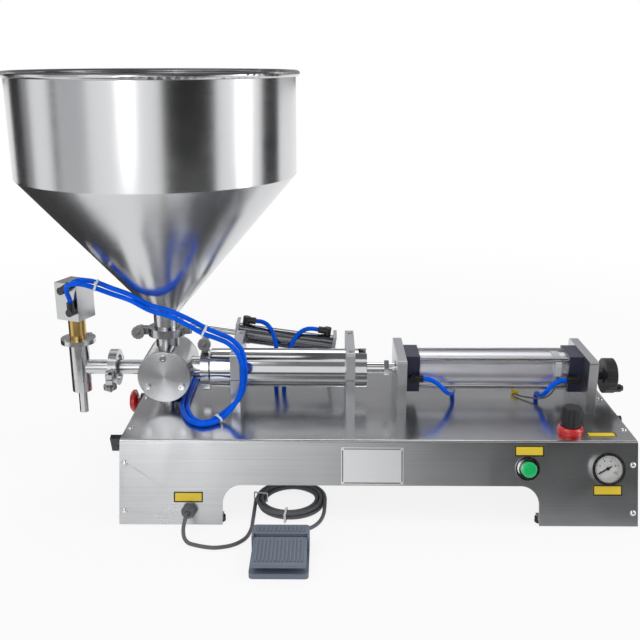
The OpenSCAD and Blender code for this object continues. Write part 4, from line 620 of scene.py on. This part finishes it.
PEDAL_LEAD_OUT = [
    (109, -46.9, 28.4), (109, -55, 30.9), (109, -64, 32), (108, -74, 28), (107, -82, 19), (109, -88, 9),
    (115, -93, 4), (124, -97, 3.2), (138, -102, 3.2), (154, -105, 3.2), (168, -103, 3.2), (181, -98, 3.2),
    (192, -89, 3.2), (200, -77, 3.2), (204, -63, 3.2), (206, -48, 3.2), (206, -32, 3.2), (206, -16, 3.4),
    (206, 0, 4), (206, 15, 4.6),
]
PEDAL_LEAD_IN = [
    (318, 18, 11), (317.5, 4, 8.6), (316, -10, 5.2), (312, -24, 3.2), (306, -37, 3.2), (297, -48, 3.4),
    (286, -56, 5), (274, -62, 8), (264, -67, 11), (259, -72, 12), (258, -77, 12),
]
COIL = {
    "x": 262, "y": 30, "z": 4.6, "r": 56, "pitch": 6.8, "layer": 6.6, "turns": 2, "dip": 1.6, "steps": 24,
}
TUBE_LOW = [
    (-100.2, 137.2, 181), (-100.8, 135.5, 189), (-101.8, 130.5, 198), (-101.3, 125, 207),
    (-95.7, 119, 214.5), (-84, 113, 219), (-70, 110, 219), (-50, 110, 213), (-25, 112, 203),
    (4, 113, 192), (37, 106, 177), (69, 103, 168), (98, 102, 153), (121, 101, 140), (142, 99, 133),
    (161, 97, 125), (176, 94, 110), (183, 90, 92), (184, 86, 76), (182.5, 80.5, 55), (176, 77, 36),
    (161, 74, 15), (148, 65, 6.2), (135, 53, 4.4), (121, 48.6, 4.4), (105, 57, 4.4), (94, 73, 4.4),
    (86, 92, 4.4), (79.5, 114, 4.4), (76, 138, 4.4), (75, 163, 4.4), (75, 190, 4.4), (75, 217, 4.4),
    (75, 242, 5), (75, 258, 9), (75, 270, 13), (75, 282, 13), (75, 290, 8), (75, 292, 0), (75, 292, -8),
]
TUBE_HIGH = [
    (-100.2, 137.2, 209.8), (-93.7, 134.5, 214.8), (-84.7, 130, 219.5), (-70, 123, 222.5), (-50, 117, 221),
    (-25, 116, 211.5), (4, 117, 200), (37, 110, 185), (69, 107, 176), (101, 107, 161), (126, 107, 147),
    (146, 105, 139), (166, 103, 130), (182, 101, 113), (187, 98, 94), (188, 94, 76), (186, 89, 53),
    (178, 86, 34), (156, 81, 14), (142, 72.5, 6.2), (131, 61, 4.4), (121, 57.2, 4.4), (111, 63, 4.4),
    (101.5, 77, 4.4), (94, 95, 4.4), (88, 116, 4.4), (84.6, 139, 4.4), (83.6, 163, 4.4), (83.6, 190, 4.4),
    (83.6, 217, 4.4), (83.6, 242, 5), (83.6, 258, 9), (83.6, 270, 13), (83.6, 282, 13), (83.6, 290, 8),
    (83.6, 292, 0), (83.6, 292, -8),
]
FRONT_CAP_TUBE = [
    (481, 131.2, 52), (491, 131, 51), (502, 131, 46), (511, 132, 38), (518, 135, 30), (526, 144, 21),
    (533, 158, 16), (538, 173, 13), (540, 184, 12), (540, 189, 7), (540, 190, 0), (540, 190, -8),
]
REAR_CAP_TUBE = [
    (720, 131.2, 50), (710, 131, 49), (700, 132, 43), (693, 134, 33), (688, 141, 22), (685, 152, 15),
    (683, 163, 13), (683, 172, 11), (683, 176, 6), (683, 177, 0), (683, 177, -8),
]
ACTUATOR_FRONT_TUBE = [
    (193, 262, 111.4), (203, 261, 110.5), (213, 256, 107), (222, 247, 98), (228, 238, 84), (231, 231, 64),
    (232, 225, 40), (231, 221, 18), (230, 220, 0), (230, 220, -8),
]
ACTUATOR_REAR_TUBE = [
    (304.9, 262, 95.6), (295, 261, 97.5), (284, 257, 98), (272, 249, 94), (261, 240, 82), (253, 232, 62),
    (247, 225, 38), (244, 221, 16), (244, 220, 0), (244, 220, -8),
]
REED_LEAD = [
    (707, 137.7, 55), (706.5, 137.7, 46), (704, 137.7, 35), (699, 141, 22), (690, 149, 11), (677, 160, 6),
    (664, 170, 4), (654, 179, 3), (649, 188, 3), (648, 195, 3), (648, 198, 0), (648, 198, -8),
]
TIED = [(7, 4), (13, 10), (22, 19)]  # points of TUBE_LOW and TUBE_HIGH that a tie holds


def coil_line():
    """The coil winds in on the table, climbs while it turns back, and winds out above."""
    c, points = COIL, []
    for i in range(int((2 * c["turns"] + 0.5) * c["steps"]) + 1):
        t = i / c["steps"]
        if t < c["turns"]:
            r = c["r"] - c["pitch"] * t
        elif t < c["turns"] + 0.5:
            r = c["r"] - c["pitch"] * c["turns"] - c["dip"] * math.sin(2 * math.pi * (t - c["turns"]))
        else:
            r = c["r"] - c["pitch"] * (2 * c["turns"] + 0.5 - t)
        turn = math.pi - 2 * math.pi * t
        z = c["z"] + c["layer"] * max(0.0, min(1.0, 2 * (t - c["turns"])))
        points.append((c["x"] + r * math.cos(turn), c["y"] + r * math.sin(turn), z))
    return points


def raised(route):
    """A route over the base top, in metres in the model's frame."""
    return [at(x, y, z + BASE_TOP) for x, y, z in route]


# Operators

class FILLER_OT_pedal_lead(bpy.types.Operator):
    """Lay the pedal's lead: out of the gland, through its coil and into the pedal"""

    bl_idname = "filler.pedal_lead"
    bl_label = "Pedal lead"

    def execute(self, context):
        sizes = context.scene.filler_sizes
        route = [at(*p) for p in PEDAL_LEAD_OUT + coil_line() + PEDAL_LEAD_IN]
        piece, line, length = round_cord(
            "pedal_lead", route, sizes.lead_d, "lead_sheath", ("pedal_cord", "pedal_cord_coil")
        )
        return {"FINISHED"}


class FILLER_OT_air_tubes(bpy.types.Operator):
    """Lay the blue air tubes between their fittings and the base"""

    bl_idname = "filler.air_tubes"
    bl_label = "Air tubes"

    def execute(self, context):
        sizes = context.scene.filler_sizes
        routes = {
            "nozzle_tube_low": TUBE_LOW, "nozzle_tube_high": TUBE_HIGH, "front_cap_tube": FRONT_CAP_TUBE,
            "rear_cap_tube": REAR_CAP_TUBE, "actuator_front_tube": ACTUATOR_FRONT_TUBE,
            "actuator_rear_tube": ACTUATOR_REAR_TUBE,
        }
        for name, route in routes.items():
            piece, line, length = round_cord(
                name, raised(route), sizes.air_tube_d, "blue_tube", ("air_tubes",)
            )
        return {"FINISHED"}


class FILLER_OT_base(bpy.types.Operator):
    """Finish the sheet metal base with its screws, plate, labels and feet"""

    bl_idname = "filler.base"
    bl_label = "Base"

    def execute(self, context):
        dress("base_cover", "base_steel", 0.0003)
        dress("side_panels", "side_steel", 0.0003)
        dress("panel_screws", "bright_screw", 0.0)
        dress("rubber_feet", "black_rubber", 0.0006)
        dress("label_plates", "yellow_label", 0.0)
        dress("nameplate", "bare_plate", 0.0003)
        dress("cable_gland", "grey_gland")
        dress("air_inlet_fitting", "black_fitting")
        dress("air_valve_block", "grey_block")
        return {"FINISHED"}


class FILLER_OT_label_frames(bpy.types.Operator):
    """Print a thin black frame on each label and on the bare plate"""

    bl_idname = "filler.label_frames"
    bl_label = "Label frames"

    def execute(self, context):
        bm = bmesh.new()
        for spot in LABELS_AT:
            self.outline(bm, on_front(spot, LABEL_INK), *LABEL_FRAME)
        self.outline(bm, Matrix.Translation(at(*TOP_LABEL_AT, BASE_TOP + LABEL_INK)), *LABEL_FRAME)
        self.outline(bm, on_front(PLATE_AT, PLATE_INK), *PLATE_FRAME)
        keep(to_object("label_frames", bm), "black_ink")
        return {"FINISHED"}

    def outline(self, bm, matrix, wide, high, line):
        """A flat rectangular line."""
        for x, y, w, h in (
            (0, high / 2, wide + line, line), (0, -high / 2, wide + line, line),
            (wide / 2, 0, line, high - line), (-wide / 2, 0, line, high - line),
        ):
            softened_box(bm, (w, h, FRAME_DEPTH), matrix @ Matrix.Translation((x, y, 0)), FRAME_EDGE, 1)


class FILLER_OT_controls(bpy.types.Operator):
    """Finish the buttons, the selector, the regulator and the gauge's case"""

    bl_idname = "filler.controls"
    bl_label = "Controls"

    def execute(self, context):
        dress("start_button_body", "bright_steel", 0.0006)
        cap = to_object("start_cap", spun(START_CAP, on_front(START_AT), CAP_STEPS, closed=False))
        keep(cap, "green_button", "start_button_cap", ("start_button_cap",))
        dress("estop_body selector_body", "black_plastic")
        dress("estop_head regulator_ring", "red_button", 0.0008)
        dress("selector_knob", "black_plastic", 0.001)
        dress("regulator_body", "matte_black")
        dress("regulator_knob", "matte_black", 0.0005)
        dress("gauge_case", "gauge_ring", 0.0008)
        dress("gauge_dial", "white_dial", 0.0)
        dress("gauge_pointer", "matte_black", 0.0)
        return {"FINISHED"}


class FILLER_OT_gauge_face(bpy.types.Operator):
    """Print the gauge's scale and numbers, and close it with its glass"""

    bl_idname = "filler.gauge_face"
    bl_label = "Gauge face"

    def execute(self, context):
        face = on_front(GAUGE_AT, DIAL_INK)
        keep(self.scale(face), "black_ink")
        for i in range(NUMBER_STEPS + 1):
            keep(self.number(context, face, i), "black_ink")
        glass = spun(GLASS, on_front(GAUGE_AT, GLASS_OUT), GLASS_STEPS, closed=False)
        keep(to_object("gauge_glass", glass), "gauge_glass")
        return {"FINISHED"}

    def scale(self, face):
        """The ring of marks, with a long one at every tenth."""
        bm = bmesh.new()
        for i in range(SCALE_STEPS + 1):
            turn = math.radians(SCALE_START - SCALE_SWEEP * i / SCALE_STEPS)
            length, width = SHORT_MARK if i % 10 else LONG_MARK
            out = Matrix.Translation((MARK_RADIUS - length / 2, 0, 0))
            place = face @ Matrix.Rotation(turn, 4, "Z") @ out
            softened_box(bm, (length, width, MARK_DEPTH), place, MARK_EDGE, 1)
        return to_object("gauge_scale", bm)

    def number(self, context, face, i):
        """One of the even numbers inside the marks, as a mesh in its place."""
        turn = math.radians(SCALE_START - SCALE_SWEEP * i / NUMBER_STEPS)
        spot = Vector((NUMBER_RADIUS * math.cos(turn), NUMBER_RADIUS * math.sin(turn), 0))
        name = f"gauge_number_{i}"
        text = bpy.data.curves.new(name, "FONT")
        text.body = str(2 * i)
        text.size = NUMBER_SIZE
        text.align_x = "CENTER"
        text.align_y = "CENTER"
        text.extrude = NUMBER_DEPTH
        holder = placed(name, text)
        context.view_layer.update()
        mesh = bpy.data.meshes.new_from_object(holder.evaluated_get(context.evaluated_depsgraph_get()))
        bpy.data.objects.remove(holder)
        mesh.transform(face @ Matrix.Translation(spot))
        return placed(name, mesh)


class FILLER_OT_cylinders(bpy.types.Operator):
    """Finish the measuring cylinder, the air cylinder and the plates that hold them"""

    bl_idname = "filler.cylinders"
    bl_label = "Cylinders and plates"

    def execute(self, context):
        dress("clamp_bases clamp_caps cylinder_plates", "satin_plate", 0.0006)
        dress("plate_bolts tie_rods", "bright_screw", 0.0003)
        dress("measuring_cylinder", "polished_tube")
        dress("measuring_piston air_piston", "polished_rod", 0.0003)
        dress("piston_rod", "polished_rod", 0.0004)
        dress("air_cylinder_tube", "drawn_alloy")
        dress("air_cylinder_caps", "navy_block", 0.001)
        dress("stop_pad", "dark_seal", 0.0003)
        dress("air_fittings", "black_fitting", 0.0006)
        return {"FINISHED"}


class FILLER_OT_handwheel(bpy.types.Operator):
    """Finish the handwheel and its crank"""

    bl_idname = "filler.handwheel"
    bl_label = "Handwheel"

    def execute(self, context):
        dress("handwheel", "wheel_black", 0.0008)
        dress("crank_handle", "black_plastic", 0.0006)
        return {"FINISHED"}


class FILLER_OT_valve(bpy.types.Operator):
    """Finish the rotary valve, its lever, the cylinder that swings it and the pipe clamps"""

    bl_idname = "filler.valve"
    bl_label = "Valve"

    def execute(self, context):
        dress("valve_body", "valve_drum", 0.0006)
        dress("valve_covers", "valve_cover", 0.0008)
        dress("valve_rotor", "valve_drum", 0.0003)
        dress("valve_lever", "grey_paint")
        dress("actuator_cylinder", "dark_barrel")
        dress("actuator_rod", "polished_rod", 0.0003)
        dress("actuator_brackets", "satin_plate", 0.0004)
        dress("pipe_clamps", "clamp_steel", 0.0005)
        dress("pipe_gaskets", "white_seal", 0.0)
        dress("hopper_clamp_nut nozzle_clamp_nut cylinder_clamp_nut", "cast_nut", 0.0003)
        return {"FINISHED"}


class FILLER_OT_hopper(bpy.types.Operator):
    """Finish the spun hopper, polished round its axis"""

    bl_idname = "filler.hopper"
    bl_label = "Hopper"

    def execute(self, context):
        dress("hopper", "hopper_steel", 0.0)
        return {"FINISHED"}


class FILLER_OT_nozzle(bpy.types.Operator):
    """Finish the shut-off nozzle and its small air cylinder"""

    bl_idname = "filler.nozzle"
    bl_label = "Nozzle"

    def execute(self, context):
        dress("nozzle_body", "nozzle_steel", 0.0006)
        dress("brass_guide", "turned_brass", 0.0006)
        dress("nozzle_air_cylinder", "drawn_alloy_block", 0.0012)
        dress("nozzle_plunger", "polished_rod", 0.0003)
        return {"FINISHED"}


class FILLER_OT_ties(bpy.types.Operator):
    """Finish the nylon ties and give those on the air tubes their lock heads"""

    bl_idname = "filler.ties"
    bl_label = "Ties"

    def execute(self, context):
        dress("cable_ties", "white_nylon", 0.0002)
        bm = bmesh.new()
        for low, high in TIED:
            first, second = Vector(TUBE_LOW[low]), Vector(TUBE_HIGH[high])
            along = (Vector(TUBE_LOW[low + 1]) - Vector(TUBE_LOW[low - 1])).normalized()
            across = (second - first).normalized()
            out = across.cross(along).normalized()
            if out.y > 0:
                out = -out
            centre = at(*(first + second) / 2 + out * HEAD_OUT + Vector((0, 0, BASE_TOP)))
            turn = Matrix((along, across, out)).transposed().to_4x4()
            softened_box(bm, HEAD_SIZE, Matrix.Translation(centre) @ turn, HEAD_EDGE)
        keep(to_object("tie_heads", bm), "white_nylon")
        return {"FINISHED"}


class FILLER_OT_reed_switch(bpy.types.Operator):
    """Make the reed switch with its band, its smooth lead and its yellow tag"""

    bl_idname = "filler.reed_switch"
    bl_label = "Reed switch"

    def execute(self, context):
        quarter = Matrix.Rotation(math.pi / 2, 4, "Y")
        band = spun(BAND, Matrix.Translation(at(BAND_X, LINE_Y, AXIS_Z)) @ quarter, BAND_STEPS)
        for size, (before, above), edge, segments in SWITCH_BOXES:
            place = Matrix.Translation(at(SWITCH_X, LINE_Y - before, AXIS_Z + above))
            softened_box(band, size, place, edge, segments)
        keep(to_object("reed_band", band), "grey_switch", replaces=("reed_switch",))
        piece, line, length = round_cord(
            "reed_lead", raised(REED_LEAD), REED_LEAD_D, "switch_lead"
        )
        tag = bmesh.new()
        hang = Vector(REED_LEAD[TAG_POINT]) + Vector((0, 0, BASE_TOP))
        place = Matrix.Translation(at(hang.x, hang.y, hang.z + TAG_LIFT))
        softened_box(tag, TAG_SIZE, place @ Matrix.Rotation(TAG_TURN, 4, "Z"), TAG_EDGE)
        keep(to_object("reed_tag", tag), "yellow_label")
        return {"FINISHED"}


class FILLER_OT_pedal(bpy.types.Operator):
    """Finish the foot pedal"""

    bl_idname = "filler.pedal"
    bl_label = "Foot pedal"

    def execute(self, context):
        dress("pedal_base pedal_plate", "pedal_shell", 0.0008)
        return {"FINISHED"}


# The studio, in metres, degrees and watts; its turns are to the right of the front, round the hopper
HOPPER_X, HOPPER_Y = -0.2733, 0.0608

# Tall soft boxes, whose reflections stand as bright bands on the hopper: turn, distance and height of
# each, its width, its own height and its power
LAMPS = (
    ("key_lamp", -9, 1.9, 1.15, 0.36, 1.9, 5.0),
    ("right_lamp", 79, 1.9, 1.0, 0.40, 1.8, 5.5),
    ("top_lamp", -60, 0.9, 2.1, 1.1, 1.1, 8.0),
    ("back_lamp", 165, 1.5, 1.9, 1.2, 0.7, 5.0),
)
LAMPS_AIM = (-0.1, 0.0, 0.35)

# Dark flags, as a studio stands round polished steel to give it contrast: turn and distance of each,
# its lower and upper end, its width and its brightness
FLAGS_ROUND = (
    ("flag_right", 35, 2.1, 0.0, 2.4, 1.50, 0.012),
    ("flag_side", 108, 1.9, 0.0, 2.2, 0.74, 0.03),
    ("flag_left", -66, 1.9, 0.0, 2.2, 0.22, 0.12),
    ("flag_mid_left", -50, 2.0, 0.0, 2.2, 0.80, 0.55),
    ("flag_far_left", -97, 1.9, 0.0, 2.2, 0.36, 0.28),
    ("flag_back_left", -113, 1.9, 0.0, 2.2, 0.72, 0.03),
)

# Flags that lie or lean: place, width, length, lean and brightness
FLAGS_LEANING = (
    ("flag_behind", (0.0, 2.4, 1.3), 6.0, 1.5, 75, 0.30),
    ("flag_ceiling", (0.1, 0.35, 2.7), 3.6, 2.3, 0, 0.16),
    ("flag_high_front", (0.2, -2.7, 2.6), 3.4, 1.9, 60, 0.22),
    ("flag_lid", (HOPPER_X, HOPPER_Y, 0.75), 0.54, 0.54, 0, 0.10),
    ("flag_left_floor", (-1.15, 1.0, 0.004), 1.3, 2.0, 0, 0.05),
    ("flag_front_floor", (-0.1, -0.75, 0.004), 1.9, 0.7, 0, 0.12),
)

CAMERA_AT, CAMERA_LEAN, CAMERA_TURN = (-0.0023, -1.32025, 0.6966), 72.8, 0.51
SENSOR_MM, LENS_MM, SEES_TO = 36.0, 48.3, 50.0
FLOOR_RADIUS, FLOOR_STEPS = 9.0, 96
WHITE, FLOOR_GREY, SKY_GREY = (1, 1, 1, 1), (0.9, 0.9, 0.9, 1), (0.62, 0.62, 0.63, 1)


class FILLER_OT_stage(bpy.types.Operator):
    """Set the pale floor, the soft lamps and the camera"""

    bl_idname = "filler.stage"
    bl_label = "Stage"

    def execute(self, context):
        self.floor()
        self.world(context)
        for name, turn, reach, height, *more in LAMPS:
            self.lamp(name, self.round_hopper(turn, reach, height), *more)
        for name, turn, reach, low, high, wide, value in FLAGS_ROUND:
            place = self.round_hopper(turn, reach, (low + high) / 2)
            self.flag(name, place, wide, high - low, math.radians(turn), math.pi / 2, value)
        for name, place, wide, high, lean, value in FLAGS_LEANING:
            self.flag(name, Vector(place), wide, high, 0.0, math.radians(lean), value)
        self.camera(context)
        context.scene.view_settings.view_transform = "Standard"
        return {"FINISHED"}

    def round_hopper(self, turn, reach, height):
        """A place at a turn, a distance and a height round the hopper's axis."""
        turn = math.radians(turn)
        return Vector((HOPPER_X + reach * math.sin(turn), HOPPER_Y - reach * math.cos(turn), height))

    def lamp(self, name, place, wide, high, power):
        """A soft box that looks at the machine."""
        data = bpy.data.lights.new(name, "AREA")
        data.energy = power
        data.shape = "RECTANGLE"
        data.size, data.size_y = wide, high
        lamp = placed(name, data)
        lamp.location = place
        aim = Vector(LAMPS_AIM) - lamp.location
        lamp.rotation_euler = aim.to_track_quat("-Z", "Y").to_euler()

    def flag(self, name, place, wide, high, turn, lean, value):
        """A dull card that only reflections see."""
        bm = bmesh.new()
        matrix = (Matrix.Translation(place) @ Matrix.Rotation(turn, 4, "Z")
                  @ Matrix.Rotation(lean, 4, "X") @ Matrix.Diagonal((wide, high, 1.0, 1.0)))
        bmesh.ops.create_grid(bm, x_segments=1, y_segments=1, size=0.5, matrix=matrix)
        card = to_object(name, bm)
        material = bpy.data.materials.new(name)
        material.use_nodes = True
        tree = material.node_tree
        glow = output(tree, "ShaderNodeEmission", {"Color": (value, value, value * 1.03, 1)})
        plug(tree, tree.nodes["Material Output"], {"Surface": glow})
        card.data.materials.append(material)
        card.visible_camera = False
        card.visible_diffuse = False
        card.visible_shadow = False

    def camera(self, context):
        """The camera of the photograph, as it was fitted to it."""
        camera = placed("camera", bpy.data.cameras.new("camera"))
        camera.data.sensor_width = SENSOR_MM
        camera.data.lens = LENS_MM
        camera.data.clip_end = SEES_TO
        camera.location = CAMERA_AT
        camera.rotation_euler = (math.radians(CAMERA_LEAN), 0.0, math.radians(CAMERA_TURN))
        context.scene.camera = camera

    def shown(self, tree):
        """1 for what the camera, metal or glass sees, and 0 for light."""
        rays = tree.nodes.new("ShaderNodeLightPath").outputs
        seen = number(tree, "MAXIMUM", rays["Is Camera Ray"], rays["Is Glossy Ray"])
        return number(tree, "MAXIMUM", seen, rays["Is Transmission Ray"])

    def floor(self):
        """A pale floor that goes over into white away from the machine."""
        bm = bmesh.new()
        bmesh.ops.create_circle(bm, cap_ends=True, segments=FLOOR_STEPS, radius=FLOOR_RADIUS)
        floor = to_object("floor", bm)
        material = bpy.data.materials.new("pale_floor")
        material.use_nodes = True
        tree = material.node_tree
        shader = tree.nodes["Principled BSDF"]
        plug(tree, shader, {"Base Color": FLOOR_GREY, "Roughness": 0.9, "Specular IOR Level": 0.1})
        far = output(tree, "ShaderNodeMapRange", {
            "Value": vector(tree, "LENGTH", own_place(tree)), "From Min": 0.7, "From Max": 2.2,
            "To Min": 0.84,
        }, interpolation_type="SMOOTHSTEP")
        share = number(tree, "MULTIPLY", far, self.shown(tree))
        white = output(tree, "ShaderNodeEmission", {"Color": WHITE, "Strength": 1.0})
        self.blend(tree, share, shader.outputs["BSDF"], white, "Material Output")
        floor.data.materials.append(material)

    def world(self, context):
        """White to the camera, to metal and to glass; a plain grey sky as light."""
        world = bpy.data.worlds.new("studio")
        context.scene.world = world
        world.use_nodes = True
        tree = world.node_tree
        sky = tree.nodes["Background"]
        plug(tree, sky, {"Color": SKY_GREY})
        plain = output(tree, "ShaderNodeBackground", {"Color": WHITE})
        self.blend(tree, self.shown(tree), sky.outputs["Background"], plain, "World Output")

    def blend(self, tree, share, first, second, last):
        """Sends a mix of two shaders to a tree's last node."""
        mix = output(tree, "ShaderNodeMixShader", {"Fac": share, 1: first, 2: second})
        plug(tree, tree.nodes[last], {"Surface": mix})


class FILLER_PT_pieces(bpy.types.Panel):
    """Lists the machine's pieces"""

    bl_label = "Piston filler"
    bl_idname = "FILLER_PT_pieces"
    bl_space_type = "VIEW_3D"
    bl_region_type = "UI"
    bl_category = "Filler"

    def draw(self, context):
        for group in (context.scene.filler_sizes, context.scene.filler_colours):
            for name in group.bl_rna.properties.keys():
                if name not in ("rna_type", "name"):
                    self.layout.prop(group, name)
        for step in STEPS:
            self.layout.operator(step.bl_idname)


STEPS = (
    FILLER_OT_stage,
    FILLER_OT_pedal_lead,
    FILLER_OT_ties,
    FILLER_OT_air_tubes,
    FILLER_OT_base,
    FILLER_OT_label_frames,
    FILLER_OT_controls,
    FILLER_OT_gauge_face,
    FILLER_OT_cylinders,
    FILLER_OT_handwheel,
    FILLER_OT_valve,
    FILLER_OT_hopper,
    FILLER_OT_nozzle,
    FILLER_OT_reed_switch,
    FILLER_OT_pedal,
)
CLASSES = (FillerSizes, FillerColours, *STEPS, FILLER_PT_pieces)


def register():
    for item in CLASSES:
        bpy.utils.register_class(item)
    bpy.types.Scene.filler_sizes = PointerProperty(type=FillerSizes)
    bpy.types.Scene.filler_colours = PointerProperty(type=FillerColours)


def unregister():
    del bpy.types.Scene.filler_colours
    del bpy.types.Scene.filler_sizes
    for item in reversed(CLASSES):
        bpy.utils.unregister_class(item)


def main():
    for item in list(bpy.data.objects):
        if "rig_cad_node" not in item and not item.name.startswith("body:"):
            bpy.data.objects.remove(item)
    register()
    for step in STEPS:
        group, name = step.bl_idname.split(".")
        getattr(getattr(bpy.ops, group), name)()
    bpy.context.view_layer.update()


if __name__ == "__main__":
    main()
